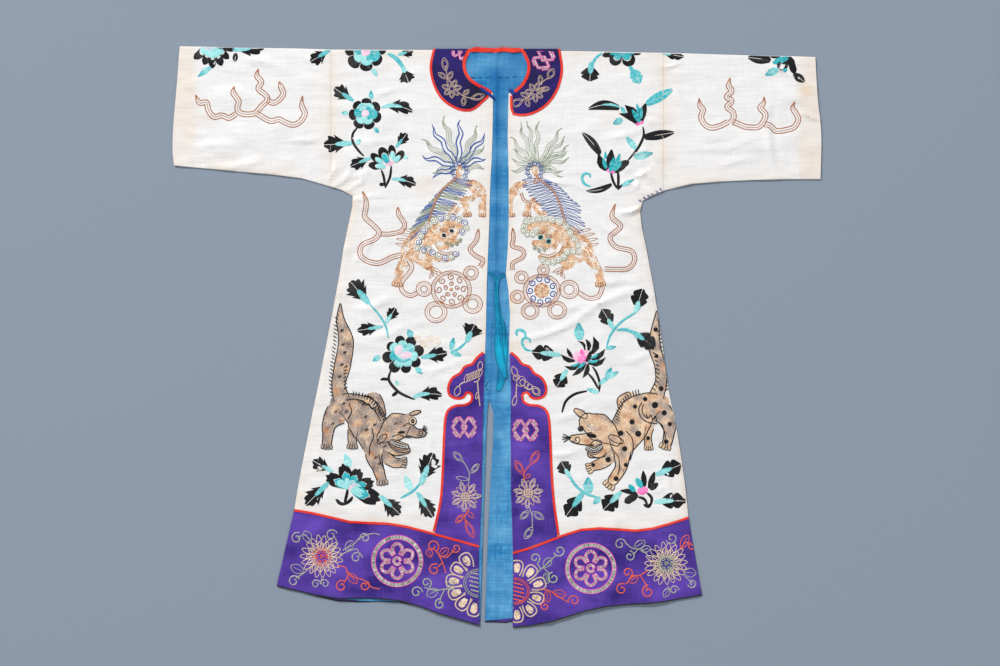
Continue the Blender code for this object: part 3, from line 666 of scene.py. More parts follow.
def addStitches(kind, leftStart, leftEnd, rightStart, rightEnd, tone=0.5, rise=None, spread=0.12):
    # One raised thread for each row, with low sides and ends
    a, b, c, d = (np.atleast_1d(np.asarray(part, complex)) for part in (leftStart, leftEnd, rightStart, rightEnd))
    along = np.array(stitch["shape"])
    left = a[:, None] + (b - a)[:, None] * along
    right = c[:, None] + (d - c)[:, None] * along
    points = np.stack([left, (left + right) / 2, right], axis=2)
    heights = (rise or stitch["rise"]) * np.array(stitch["arch"])[:, None] * np.array(stitch["sides"])
    tones = np.clip(np.broadcast_to(tone, len(a)) + dice.normal(0, spread, len(a)), 0, 1)
    sew(kind, points, heights, tones[:, None, None], gridFaces(len(a), len(along), 3))


def satin(kind, low, high, tone, **more):
    # Stitches side by side from one line of places to another
    addStitches(kind, low[:-1], high[:-1], low[1:], high[1:], tone, **more)


def evenly(line, step):
    # The same line with evenly spaced points
    line = np.asarray(line, complex)
    lengths = np.concatenate([[0], np.cumsum(abs(np.diff(line)))])
    stops = np.linspace(0, lengths[-1], max(2, round(lengths[-1] / step) + 1))
    return np.interp(stops, lengths, line.real) + 1j * np.interp(stops, lengths, line.imag)


def around(centre, radius, degrees):  # a place on a circle
    return centre + cmath.rect(radius, math.radians(degrees))


def turned(degrees):  # the direction, with length 1
    return cmath.exp(1j * math.radians(degrees))


def smooth(points, step=None, closed=False):
    # A smooth line through the points, with even spacing
    p = np.array(points, complex)
    if closed:
        p = np.concatenate([p[-1:], p, p[:2]])
    else:
        p = np.concatenate([[2 * p[0] - p[1]], p, [2 * p[-1] - p[-2]]])
    t = np.arange(8) / 8
    parts = []
    for a, b, c, d in zip(p, p[1:], p[2:], p[3:]):
        curve = 2 * b + (c - a) * t + (2 * a - 5 * b + 4 * c - d) * t**2 + (3 * b - a - 3 * c + d) * t**3
        parts.append(0.5 * curve)
    return evenly(np.concatenate(parts + [[p[-2]]]), step or stitch["cordStep"])


def drawn(rows, step=None):  # a smooth line through places in the photo
    return smooth(places(rows), step)


def sideways(line):  # to the left of the line, with length 1
    way = np.gradient(line)
    return 1j * way / (abs(way) + 1e-9)


def couch(kind, line, width=1.8, tone=0.5, paired=False):
    # Metal thread laid on the cloth: one cord, or two side by side
    line = np.asarray(line, complex)
    if len(line) < 2 or abs(line[0] - line[-1]) + len(line) < 2.5:
        return
    across, heights = (np.array(part) for part in stitch["pairOfCords" if paired else "cord"])
    points = line[:, None] + sideways(line)[:, None] * across * width
    tones = tone + stitch["cordGlint"] * np.sin(np.arange(len(line)) * stitch["glintPace"])
    tones = np.clip(tones + dice.normal(0, stitch["cordSpread"], len(line)), 0, 1)[:, None]
    sew(kind, points, heights * stitch["cordRise"], tones, gridFaces(1, len(line), len(across)))


def stem(kind, points, width, tone):
    # Slanting satin stitches across a stem
    line = smooth(points, stitch["pitch"])
    share = np.linspace(0, 1, len(line))
    side = sideways(line) * width / 2 * (1 - 0.5 * abs(2 * share - 1) ** 3)
    lean = np.gradient(line) * stitch["stemLean"]
    satin(kind, line - side - lean, line + side + lean, tone)


def spot(kind, centre, radiusX, radiusY=None, degrees=0.0, tone=0.3):
    # A filled round of parallel stitches
    turn = turned(degrees)
    count = max(4, int(2 * (radiusY or radiusX) / stitch["pitch"]))
    row = np.linspace(-0.97, 0.97, count + 1)
    chord = radiusX * np.sqrt(1 - row**2)
    rise = (radiusY or radiusX) * row * 1j
    satin(kind, centre + (rise - chord) * turn, centre + (rise + chord) * turn, tone)


def bowed(base, axis, bow, share):  # places along a bowed middle line
    return base + axis * share + 1j * axis * bow * 4 * share * (1 - share)


def petal(base, tip, width, layers, blunt=0.0, bow=0.0, teeth=0):
    # Stitches along the petal. Layers: kind, from and to as shares of its length, tone.
    # On a blunt petal the layers are arched, so that the outer one runs down its sides.
    axis = tip - base
    across = np.linspace(-1, 1, max(4, int(width / stitch["pitch"])) + 1)
    end = 1 - 0.5 * blunt * (1 - np.sqrt(1 - 0.96 * across**2))
    arch = np.sqrt(1 - 0.85 * blunt * across**2)
    if teeth:
        end = end * (1 - 0.11 * abs(((across + 1) * teeth / 2) % 1 - 0.5) * 2)

    def place(share):
        t = share * end * (1 if share == 1 else arch)
        pointed = np.sin(math.pi * (0.12 + 0.88 * t)) ** 0.8
        rounded = 0.35 + 0.65 * np.sin(math.pi / 2 * np.clip(t / 0.7, 0, 1))
        spread = (1 - blunt) * pointed + blunt * rounded
        return bowed(base, axis, bow, t) + 1j * axis / abs(axis) * across * width / 2 * spread

    for kind, first, last, tone in layers:
        cuts = np.linspace(first, last, 1 + max(1, round((last - first) * (3 if blunt < 0.5 else 2))))
        for low, high in zip(cuts, cuts[1:]):
            satin(kind, place(low), place(high), tone)


leafForms = {  # reach is in widths, uneven is how one side differs from the other
    "pointed": {"extraLobes": (0.1, 0.35), "reach": 0.66, "uneven": (0.92, 1.08), "lean": 0.7},
    "round": {"extraLobes": (0.95, 1.25), "reach": 0.55, "uneven": (0.94, 1.06), "lean": 0.5},
    "stalk": 0.22, "notch": 0.42, "outerTone": 0.2, "outerSpread": 0.16, "heartRise": 0.3,
}


def leaf(base, tip, width, lobes=1, bow=0.0, lit=0.55, outer="black", tone=0.75, pointed=True):
    # Slanting stitches from a bare vein to a lobed edge on each side, then a bright wedge from the base.
    # Pointed lobes grow towards the tip and stop short, round ones swell and shrink.
    axis = tip - base
    way = axis / abs(axis)
    first = leafForms["stalk"] if lobes else 0.0
    form = leafForms["pointed" if pointed and lobes else "round"]
    share = np.linspace(0, 1, max(7, int(abs(axis) * (1 - first) / stitch["pitch"])) + 1)
    for side in (1, -1):
        if pointed and lobes:
            count = lobes + 1 + dice.uniform(*form["extraLobes"])
            lobe = 0.6 + 0.4 * ((count * share + 0.3) % 1) ** 1.1
            reach = width * form["reach"] * np.sin(math.pi * (0.14 + 0.8 * share)) ** 0.9 * lobe
        else:
            count = lobes + dice.uniform(*form["extraLobes"])
            notch = (leafForms["notch"] if lobes else 0.0) * (
                1 - abs(np.sin(math.pi * (count * share + 0.04))) ** 0.5)
            reach = width * form["reach"] * np.sin(math.pi * (0.16 + 0.8 * share)) ** 0.75 * (1 - notch)
        reach = reach * dice.uniform(*form["uneven"])
        bare = 0.5 * ease(share, 0.3, 0.5)
        ahead = reach * form["lean"] * (1 - share)
        if not pointed:  # no stitch crosses the one before
            run = abs(axis) * (1 - first) * share
            ahead = np.maximum.accumulate(run + ahead) - run
        rib = bowed(base, axis, bow, first + (1 - first) * share)
        low = rib + side * 1j * way * bare
        high = rib + way * ahead + side * 1j * way * np.maximum(reach, 0.6)
        satin(outer, low, high, leafForms["outerTone"], spread=leafForms["outerSpread"])
    if lit > 0:
        level = sewingPlace["level"]
        raiseTo(level + leafForms["heartRise"])
        blade = (("turquoise", 0, 1, tone + dice.uniform(-0.45, 0.1)),)
        top = bowed(base, axis, bow, 0.36 + 0.5 * lit)
        petal(base, top, width * (0.36 if lobes else 0.3), blade, 0.15, bow, 3)
        raiseTo(level)


def lobeRing(kind, centre, inner, outer, count, turn, tones=(0.2,), depth=0.3):
    # A ring of rounded petals in stitches from the centre outwards, with bare ground between
    for index in range(count):
        share = np.linspace(-0.96, 0.96, max(6, int(outer * 5 / count / stitch["pitch"])))
        bump = np.sqrt(1 - 0.95 * share**2)
        angle = np.radians(turn + 360 / count * (index + share / 2))
        rim = outer * dice.uniform(0.91, 1.07) * (1 - depth + depth * bump)
        low = centre + inner * (1 - depth * 0.4 * (1 - bump)) * np.exp(1j * angle)
        high = centre + rim * np.exp(1j * angle)
        satin(kind, low, high, tones[index % len(tones)])


def peony(centre, radius, count, turn):
    # Black petals outside, two rings of aqua ones and a pale heart
    lobeRing("black", centre, radius * 0.62, radius, count, turn)
    raiseTo(0.25)
    lobeRing("turquoise", centre, radius * 0.45, radius * 0.72, count - 1, turn + 22, (0.85, 0.7, 0.15))
    lobeRing("turquoise", centre, radius * 0.23, radius * 0.49, 5, turn + 8, (0.15, 0.8))
    spot("pink", centre, radius * 0.24, radius * 0.2, 30, tone=0.95)
    raiseTo(0.0)


def curl(kind, centre, radius, turns=1.3, start=0.0, spin=1, width=1.8, tone=0.5, paired=False):
    # A spiral from its rim inwards. Spin is 1 or -1
    share = np.linspace(0, 1, max(9, int(math.pi * radius * turns / 1.5)))
    angle = math.radians(start) + spin * share * turns * 2 * math.pi
    couch(kind, centre + radius * (1 - 0.74 * share) * np.exp(1j * angle), width, tone, paired)


def outlineLeaf(kind, base, tip, width, tone=0.5, inside="vein", cord=1.6):
    # A pointed loop, empty or with a vein or a smaller loop inside
    axis = tip - base

    def loop(first, last, wide):
        half = 1j * axis / abs(axis) * wide / 2
        start, way = base + axis * first, axis * (last - first)
        return [start, start + way * 0.3 + half * 0.86, start + way * 0.66 + half, start + way,
                start + way * 0.66 - half, start + way * 0.3 - half * 0.86]

    couch(kind, smooth(loop(0, 1, width), 1.9, closed=True), cord, tone)
    if inside == "vein":
        couch(kind, smooth([base + axis * 0.12, base + axis * 0.8], 2.2), cord * 0.8, tone)
    if inside == "loop" and width > 5:
        couch(kind, smooth(loop(0.2, 0.82, width - 4.4), 1.7, closed=True), cord * 0.8, tone + 0.2)


def outlineFlower(kind, centre, petals, inner, outer, width, turn=0, tone=0.5, inside="", cord=1.6):
    for index in range(petals):
        angle = turn + 360 * index / petals + dice.uniform(-3, 3)
        outlineLeaf(kind, around(centre, inner, angle), around(centre, outer * dice.uniform(0.94, 1.05), angle),
                    width, tone, inside, cord)


def flame(kind, points, width, taper=0.16):
    # A waving ribbon of laid threads that run together at the tip, which comes first
    line = drawn(points, 2.2)
    share = np.linspace(0, 1, len(line))
    side = sideways(line) * width / 2 * ease(share, -0.03, taper)
    for place, size in ((-1, 1), (0.05, 0.7), (1, 1)):
        couch(kind, line + side * place, 2.2 * size, 0.12 + (0.25 if abs(place) < 1 else 0))


def cloudy(spots, size, turn):
    # Soft patches between -1 and 1
    x, y = spots.real / size, spots.imag / size
    return (np.sin(x + turn) + np.sin(1.3 * y + 0.7 * x + turn) + np.sin(0.8 * (x - y) + 2 * turn)) / 3


def fillShape(kinds, outline, degrees, pitch=1.3, length=7.5, tone=0.5, spread=0.12, patch=6.0):
    # Long and short stitches in rows across a closed outline. Kinds: kind and its share, in soft patches
    turn = turned(degrees)
    local = np.asarray(outline, complex) / turn
    ahead = np.roll(local, -1)
    rows = np.arange(local.imag.min() + pitch / 2, local.imag.max(), pitch)
    starts, ends = [], []
    for y in rows:
        cross = (local.imag > y) != (ahead.imag > y)
        p, q = local[cross], ahead[cross]
        found = np.sort(p.real + (y - p.imag) / (q.imag - p.imag) * (q.real - p.real))
        for low, high in zip(found[::2], found[1::2]):
            cuts = np.arange(low - dice.uniform(0, length), high, length)
            cuts = np.concatenate([[low], cuts[cuts > low + 1.2], [high]])
            starts += [complex(x, y) for x in cuts[:-1]]
            ends += [complex(x, y) for x in cuts[1:]]
    if not starts:
        return
    starts, ends = np.array(starts), np.array(ends)
    pick = np.clip(0.5 + 0.6 * cloudy(starts * turn, patch, degrees) + dice.normal(0, 0.14, len(starts)), 0, 0.999)
    floor = 0.0
    for kind, share in kinds:
        mine = (pick >= floor) & (pick < floor + share)
        floor += share
        if mine.any():
            a, b = starts[mine], ends[mine]
            half = 0.5j * pitch
            tones = tone + 0.3 * cloudy(a * turn, patch * 0.7, 1 + degrees)
            addStitches(kind, (a - half) * turn, (b - half) * turn, (a + half) * turn, (b + half) * turn,
                        tones, rise=stitch["fillRise"], spread=spread)


def bar(points, width):
    # A band of silver stitches between two pink cords
    line = evenly(points, 1.4)
    side = sideways(line) * width / 2
    low, high = line - side, line + side
    satin("silver", low, high, 0.5, spread=0.25)
    for edge in (low, high):
        couch("magenta", edge, 1.5, 0.4)
    for end in (0, -1):
        couch("magenta", evenly([low[end], high[end]], 1.5), 1.5, 0.4)


print("threads ready")

# Motifs. Rows give places in the photo's pixels and widths in pixels, unless a note says otherwise.
px2mm = picture["mmPerPixel"]


def leaves(rows, **look):
    # from x, y, to x, y, width, then pairs of lobes, bow, lit share
    for row in rows:
        leaf(at(*row[:2]), at(*row[2:4]), row[4] * px2mm, *row[5:], **look)


def buds(rows):
    # from x, y, to x, y, width and tone from 0, deep, to 1, pale
    for x, y, tipX, tipY, width, tone in rows:
        base, tip = at(x, y), at(tipX, tipY)
        petal(base, tip, width * px2mm, (("turquoise", 0, 0.55, tone + 0.3), ("turquoise", 0.55, 1, tone)), 0.12)
        if width > 6.8:  # a bright vein on the large ones
            raiseTo(0.4)
            couch("white", smooth([base * 0.7 + tip * 0.3, base * 0.2 + tip * 0.8], 2), 0.8, 0.7)
            raiseTo(0)


def stems(kind, tone, lines):
    # width, then places
    for width, *line in lines:
        stem(kind, places(line), width * px2mm, tone)


petalStyles = {
    "dark": (("black", 0, 1, 0.2),),
    "bright": (("turquoise", 0, 1, 0.08),),
    "pale": (("turquoise", 0, 1, 0.78),),
    "rimmed": (("turquoise", 0, 0.3, 0.8), ("turquoise", 0.33, 0.6, 0.05), ("black", 0.63, 1, 0.2)),
    "edged": (("turquoise", 0, 0.56, 0.8), ("black", 0.62, 1, 0.2)),
    "capped": (("turquoise", 0, 0.6, 0.15), ("black", 0.66, 1, 0.2)),
    "hot": (("pink", 0, 1, 0.15),),
    "rosy": (("pink", 0, 1, 0.75),),
}


def petals(rows):
    # from x, y, to x, y, width, style, then bluntness, bow and teeth. Each lies a little over the last.
    for row in rows:
        petal(at(*row[:2]), at(*row[2:4]), row[4] * px2mm, petalStyles[row[5]], *row[6:])
        sewingPlace["level"] += 0.07
    raiseTo(0)


def sewFrontLeft():
    sewOn("front_left")
    stems("turquoise", 0.25, (
        (4.4, (388, 53.5), (396, 58.5), (402, 66), (405, 72)),
        (2.2, (369, 303), (380, 316), (386, 327), (388.5, 338)), (2.6, (452, 351.5), (459, 348.5), (467, 341.5)),
        (2.8, (400.5, 498), (413, 491), (421.5, 482)),
    ))
    stems("black", 0.2, (
        (2.7, (358, 127), (353, 134), (353, 142), (358, 150), (364, 156.5)),
        (2.6, (381.6, 170), (384, 178), (385, 187)), (2.6, (391.5, 166), (390, 177), (385, 188)),
        (3, (391, 370), (389, 380), (396.5, 390), (404, 395), (414.6, 399.5)),
        (3.2, (389, 379.6), (384.5, 379), (380.7, 379.2)), (3.6, (398, 391), (395.5, 393.5), (392, 395.3)),
        (3.2, (348, 489), (346.5, 496), (344.5, 503)), (3.6, (345.5, 504.5), (340, 503), (336.5, 499)),
        (3.4, (345, 504), (350, 500.5), (353, 497)),
    ))
    leaves((
        (403, 67, 408.5, 82.5, 15, 1, 0, 0.1), (398, 55, 413, 50.5, 10), (353.5, 101, 334.5, 88.3, 14),
        (381.5, 107.5, 412.5, 111.5, 12, 1, 0.1, 0.7), (352, 143.3, 324, 145, 16), (371.5, 157.5, 350.5, 166.5, 11),
        (396, 147.5, 407, 133.5, 10), (391.8, 179, 416, 184.5, 11, 1, 0.05),
        (369.5, 304, 350.5, 281.5, 20, 2, 0, 0.6), (386, 323, 395.5, 308, 11), (383, 326.5, 357.5, 330.5, 11),
        (421, 357.5, 447, 353, 14), (466.5, 342, 474.5, 324.5, 18, 1), (413, 397.5, 442, 395, 13, 1, 0.08),
        (332.5, 471.5, 313, 460.5, 13, 1, 0, 0.4), (329, 482, 306, 505, 15, 2), (380, 495.5, 400, 514, 16, 2),
        (420.5, 485, 433, 453, 19, 2, 0, 0.6), (417, 492, 433, 517, 15, 2),
    ))
    buds((
        (372.5, 69, 377, 76.5, 5.5, 0.6), (371.5, 99.5, 371, 90.5, 5, 0.15), (348, 113.5, 341.5, 113, 5, 0.45),
        (374.5, 128, 379, 133, 4.8, 0.15), (356, 144, 361, 139.8, 5.2, 0.6), (403.3, 156.8, 408.3, 158.2, 4.2, 0.8),
        (411.8, 337, 408, 329.5, 7, 0.15), (380, 356.3, 372.6, 361, 6, 0.25), (415.8, 367.8, 422.8, 373.8, 6, 0.2),
        (397.3, 385.5, 397, 380.5, 4.5, 0.6), (451, 349.5, 453.8, 337.5, 6, 0.2), (450.3, 351.3, 461.5, 356, 6, 0.3),
        (350, 467, 344.8, 454, 8.5, 0.75), (411, 490, 405, 475.5, 8, 0.85),
    ))
    spot("black", at(381.8, 184.5), 5.6, 4.2, tone=0.2)
    peony(at(365.8, 52), 43, 7, 15)
    peony(at(365.3, 113.5), 35.5, 7, 32)
    spot("black", at(376, 105), 7, 6, tone=0.2)
    bloom = at(403, 354)
    lobeRing("black", bloom, 23, 43, 8, 12, depth=0.42)
    raiseTo(0.25)
    lobeRing("turquoise", bloom, 17, 31, 7, 40, (0.85, 0.8, 0.9, 0.15))
    spot("turquoise", bloom, 18, 17, tone=0.88)
    raiseTo(0.35)
    stems("turquoise", 0.1, ((3.4, (393, 349), (395, 356), (402, 361), (411, 359)),))
    for x, y, wide, high, degrees, tone in ((398.8, 350, 6, 4.4, 70, 0.92), (405.8, 355.3, 6.6, 4.2, 10, 0.92)):
        spot("pink", at(x, y), wide * px2mm, high * px2mm, degrees, tone)
    for x, y, tone in ((405, 346.5, 0.2), (409.5, 345.5, 0.45), (411.5, 350, 0.2), (407.5, 350, 0.6)):
        spot("turquoise", at(x, y), 5.4, 4.6, 30, tone)
    petals((
        (385.5, 167, 368.5, 165, 8.4, "edged", 1), (382.5, 163.5, 371, 154, 8, "edged", 1),
        (388, 163, 380.5, 147.5, 10.5, "capped", 1), (393.6, 160, 391, 145, 8, "edged", 1),
        (394.5, 162.5, 403.5, 151, 8, "edged", 1),
    ))
    spot("pink", at(389.5, 163.3), 9.5, 5, 8, 0.75)
    petals((
        (347.5, 487, 325.5, 475, 14, "rimmed", 1, 0, 3), (348.5, 485, 342.5, 463, 13.5, "rimmed", 1, 0, 3),
        (350.5, 485.5, 360.5, 468.5, 13.5, "rimmed", 1, 0, 3), (354, 487.5, 374.5, 481, 13, "rimmed", 1, 0, 3),
        (352, 489.5, 381, 500.5, 17.5, "rimmed", 1, 0, 3), (349, 488, 337, 481, 8, "pale", 0.7),
        (351, 489, 365, 495, 9, "pale", 0.7),
    ))
    spot("pink", at(353.8, 486), 13, 6.5, 40, 0.85)
    for index, (x, y) in enumerate(((418, 339), (424, 344), (430, 338), (437, 341))):
        curl("tan", at(x, y), 8.5, 1.6, 90 * index, width=1.4, tone=1.0)


def sewFrontRight():
    sewOn("front_right")
    stems("turquoise", 0.25, (
        (3, (602, 53.5), (596, 58), (592, 65), (590, 72)),
        (2.6, (641, 306), (636, 312), (621.2, 322), (611, 334), (606, 348)),
        (3.4, (616.6, 329.8), (626, 329.8), (636.5, 334)), (3, (568, 472), (574.5, 484), (585, 493), (598.5, 498)),
        (2.8, (532, 351), (525.6, 349.2), (522, 342.5), (524.5, 338), (529.3, 339.3), (530.2, 343)),
        (3.2, (525.5, 338), (524.5, 332.5), (520, 329.8), (516.5, 331.5), (516.8, 336)),
        (3, (590.5, 186.8), (584.5, 184), (582, 178.5), (584.5, 174), (589.5, 174.5), (589.8, 177.5)),
    ))
    stems("black", 0.2, (
        (2.7, (643, 127), (643.5, 136), (638, 148), (627.5, 161)), (2.7, (610.8, 172.5), (613, 181), (617, 189)),
        (2.9, (618, 171), (618.3, 180), (617.6, 189)), (2.6, (617.5, 189.5), (620, 187), (622.5, 185)),
        (2.6, (592.5, 366.5), (596.5, 373), (599.5, 383), (599, 391.5)),
        (2.6, (588, 373), (593.5, 380), (598.2, 389)), (2.8, (587, 391), (575, 394), (566, 401), (561.8, 412.5)),
        (3, (638.3, 496.6), (644, 499), (647, 504)), (3, (647.2, 492.5), (651.5, 498), (650.6, 505)),
        (4, (644, 504), (648, 506), (651, 504)),
    ))
    leaves(pointed=False, rows=(
        (591.3, 62, 589.5, 81.5, 18, 1, 0, 0.6), (661.5, 53, 683.5, 57, 9, 1, 0, 0.2),
        (643.5, 137.5, 674, 132.5, 9, 0, 0, 0), (612, 184.5, 586, 191, 5.5, 0, 0.08, 0),
        (600.5, 154.5, 582.5, 133, 8, 0, -0.04, 0), (635, 313, 642.5, 289, 17, 1, 0, 0.35),
        (613.5, 329, 602, 309, 15, 1, 0, 0.35), (561, 355, 532, 352, 16, 1, 0, 0.8),
        (567, 369.5, 556.5, 387, 15, 1, 0, 0.6), (570, 477.5, 561, 461.5, 14, 1, 0, 0.45),
        (583.5, 492, 566, 516, 18, 1, 0, 0.6), (621, 491.5, 603.5, 509.5, 17, 1, 0, 0.6),
        (655.5, 474.5, 681, 464.5, 17, 1, 0, 0.65), (654, 501.8, 685.5, 501, 16, 1, 0.02, 0.6),
        (619.8, 107.5, 588.5, 109, 9, 0, -0.1, 0.5),
    ))
    raiseTo(1.4)
    leaves(((632, 331.5, 655, 347, 16, 1, 0, 0.4),), pointed=False)
    raiseTo(0)
    leaves(((629.5, 66, 640, 83.5, 12), (646, 104.5, 672.5, 89.5, 9, 0)), outer="turquoise", tone=0.6, pointed=False)
    buds((
        (622.3, 119.5, 613, 124, 7, 0.15), (625, 114, 621, 106.5, 4.4, 0.15), (636, 149, 626, 137, 7, 0.4),
        (634, 157.5, 653, 153, 8, 0.4), (621.5, 186, 634, 179.5, 4.8, 0.25), (579.5, 340, 578.6, 322.8, 10.5, 0.2),
        (606, 348.5, 616, 346.5, 4.6, 0.2), (598.5, 384.5, 611, 375, 5, 0.35), (606, 378, 618.5, 371.5, 6.5, 0.5),
        (606, 377, 611.5, 367.5, 5.5, 0.15), (598.5, 392.3, 586.5, 389, 5.5, 0.45), (588.5, 493, 588, 477, 11, 0.25),
        (600, 497, 593.3, 504, 6.5, 0.3),
    ))
    petals((
        (621, 51, 602, 56, 8, "dark", 0.3), (625, 51, 641, 53.5, 7, "dark", 0.3),
        (620.5, 51, 612, 65, 13, "capped", 1), (624, 51, 631.5, 66, 14, "capped", 1),
        (621, 51, 610, 54, 6, "bright", 0.3), (624, 51, 635, 53, 6, "bright", 0.3),
    ))
    spot("pink", at(622.7, 52.5), 10, 7, tone=0.2)
    petals((
        (638, 124, 618.5, 113.5, 6.5, "dark", 0, -0.1), (639.5, 122.5, 624.5, 105, 9.5, "dark", 0, -0.06),
        (641, 121.5, 646, 103.2, 8, "dark", 0.1, 0.05), (640, 117, 636.5, 103.5, 4, "bright", 0.1),
        (640, 122.5, 632, 109.5, 5.5, "bright", 0.1), (640.8, 119, 641.5, 107, 3.6, "bright", 0.1),
    ))
    petals((
        (606.5, 170.5, 598.5, 154, 8, "dark", 0.1, 0.1), (609.5, 169, 611.5, 149.5, 8.5, "dark", 0.1),
        (614.5, 172, 629, 161.5, 9.5, "dark", 0.3, 0.08), (606, 169, 602.8, 157.5, 4.2, "bright", 0.1),
        (605.6, 159, 605.2, 151.5, 3, "bright", 0.1), (610, 171.5, 614.5, 157, 6, "bright", 0.1),
        (616.3, 164, 619.8, 153.8, 4, "bright", 0.1), (613.5, 170.8, 622, 161, 5.5, "bright", 0.1),
    ))
    for x, y in ((637.8, 123.8), (641.6, 122.4), (608.8, 170.4), (613, 172)):
        spot("pink", at(x, y), 5, 4, 60, 0.15)
    petals((
        (575, 361, 560.5, 354, 5, "dark", 0, 0.14), (573, 358, 566.8, 347.8, 4, "dark", 0, 0.06),
        (580, 363.5, 564, 366, 5, "dark", 0, 0.22), (585.5, 362.5, 572, 375.8, 5.5, "dark", 0, 0.08),
        (588, 364, 582.6, 378, 5, "dark", 0, 0.1), (588, 363, 605.8, 357, 5.5, "dark", 0, -0.2),
        (591, 359, 605, 348.8, 5.5, "dark", 0, -0.14), (591.5, 354, 593, 336, 7, "dark", 0, -0.22),
        (588.5, 350.5, 585.3, 338.8, 4.5, "dark", 0, -0.16), (584.8, 350, 577.3, 341, 3, "dark", 0, -0.24),
        (586, 361.5, 590.3, 350.5, 5, "dark", 0, -0.1), (579.5, 362.8, 570, 366, 2.6, "bright", 0, 0.1),
        (585.3, 362, 577.5, 369, 3.4, "bright"), (588, 361.5, 599.5, 359.5, 3, "bright", 0, -0.1),
        (590.5, 358, 599, 352.5, 2.8, "bright", 0, -0.1),
    ))
    petals((
        (583, 362.5, 571.5, 355, 6.5, "rosy", 0.3), (584.5, 362.5, 586.5, 349, 6.5, "rosy", 0.3),
        (583.5, 362.5, 575.5, 350.5, 6, "rosy", 0.3), (584, 362.5, 581, 349, 6, "hot", 0.3),
        (583, 364, 578, 356, 5, "hot", 0.3), (584.5, 364, 587, 356, 4.5, "hot", 0.3),
    ))
    petals((
        (644.5, 486.5, 643, 470.5, 6, "dark", 0.1), (649, 488.5, 654.5, 471.5, 6.5, "dark", 0.1),
        (650, 489.5, 658, 483, 6, "dark", 0.3), (636.5, 493.5, 620, 490.5, 5.5, "dark", 0.1, -0.05),
        (637.5, 494, 624.5, 502.5, 9, "dark", 0.5), (635, 491.5, 628.5, 484.5, 5.5, "bright", 0.3),
        (642, 487.5, 636, 478, 6.5, "bright", 0.3),
    ))
    spot("pink", at(642.4, 490.5), 12, 9, 20, 0.2)


def sewSleeves():
    sewOn("sleeve_left")
    petals((
        (211, 46, 194, 59, 10, "edged", 0.4), (212, 46, 204, 65, 10, "edged", 0.4),
        (213, 46, 212.5, 68.5, 10, "edged", 0.4), (214, 46, 222, 66, 10, "edged", 0.4),
        (215, 46, 229, 59, 9, "edged", 0.4), (216, 46, 235.5, 50, 7, "dark", 0.5),
    ))
    spot("pink", at(211, 48), 14, 7, tone=0.8)
    leaves(((232, 50, 264, 48, 13), (330, 50, 310.5, 62, 13), (236, 53, 235, 62, 5, 0, 0, 0)))
    buds(((211, 67, 198, 77, 6, 0.3),))
    for line in (
        ((195.7, 95.2), (200, 103), (206.5, 102.5), (208.5, 110), (214, 117), (222, 115.5), (229, 118), (236, 114)),
        ((234.3, 86.5), (233.5, 93), (236.5, 97.5), (239, 102), (237.5, 108), (240, 113), (249, 114.5), (256, 113)),
        ((258.5, 69), (257, 76), (261.5, 82), (258.5, 89), (265.5, 95), (267.5, 100), (262, 106), (256, 113)),
        ((279.2, 81.7), (281.5, 88), (283.3, 94), (279, 100), (273, 103), (267, 100)),
        ((302.5, 96), (302, 106), (305, 114), (300, 122), (293, 125), (285, 122.5), (279, 119.5), (270, 121),
         (256, 113)),
    ):
        flame("copper", line, 10.5)
    sewOn("sleeve_right")
    petals((
        (789, 56, 794.5, 74, 8.5, "dark", 0.5), (786, 56, 780, 70.5, 12, "dark", 0.8),
        (781, 55, 770, 56.5, 6, "dark", 0.4), (784, 58, 772.5, 63.5, 6, "bright", 0.4),
        (788, 57.5, 778, 61.5, 7, "bright", 0.6), (785, 68, 784.5, 72.5, 5, "bright", 0.3),
    ))
    spot("pink", at(785.5, 55.5), 7, 4, tone=0.2)
    leaves(((771, 60, 748, 57.6, 9.5, 0, 0, 0), (793, 74, 804.5, 82, 7.5, 0, 0, 0)))
    buds(((778, 69, 765, 75.5, 8, 0.25),))
    for line in (
        ((699, 98.5), (700, 106), (703, 110), (701, 117), (704, 124), (711, 128), (720, 126), (728, 122)),
        ((730, 78), (728.5, 86), (731.5, 91), (726.5, 97), (731.5, 101), (727, 107), (732.5, 112), (733.5, 118),
         (730, 123)),
        ((763.8, 97), (763.5, 103), (760, 108), (765, 114), (764, 120), (758, 127), (746, 127), (738, 124),
         (733, 122)),
        ((794.5, 102), (792.5, 108), (796, 114), (798, 120), (794, 127), (786, 130), (776, 131), (770, 126),
         (764, 124)),
    ):
        flame("copper", line, 10.5)


def ribbon(kind, line, width, filled=True, tone=0.12):
    # Two cords, with a thin pale one between them if filled
    side = sideways(line) * width / 2
    for place in (-1, 0, 1) if filled else (-1, 1):
        couch(kind, line + side * place, 2.0 - (place == 0), tone + 0.4 * (place == 0))


def ring(kind, centre, radius, width=0.0, squash=1.0, tone=0.12):
    # One line, or two and a pale one between
    angle = np.linspace(0, 2 * math.pi, max(12, int(radius * 3)) + 1)
    for inside, cord, pale in ((0, 1.9, 0),) + ((0.5, 0.9, 0.4), (1, 1.9, 0)) * (width > 0):
        size = radius - width * inside
        couch(kind, centre + size * (np.cos(angle) + 1j * squash * np.sin(angle)), cord, tone + pale)


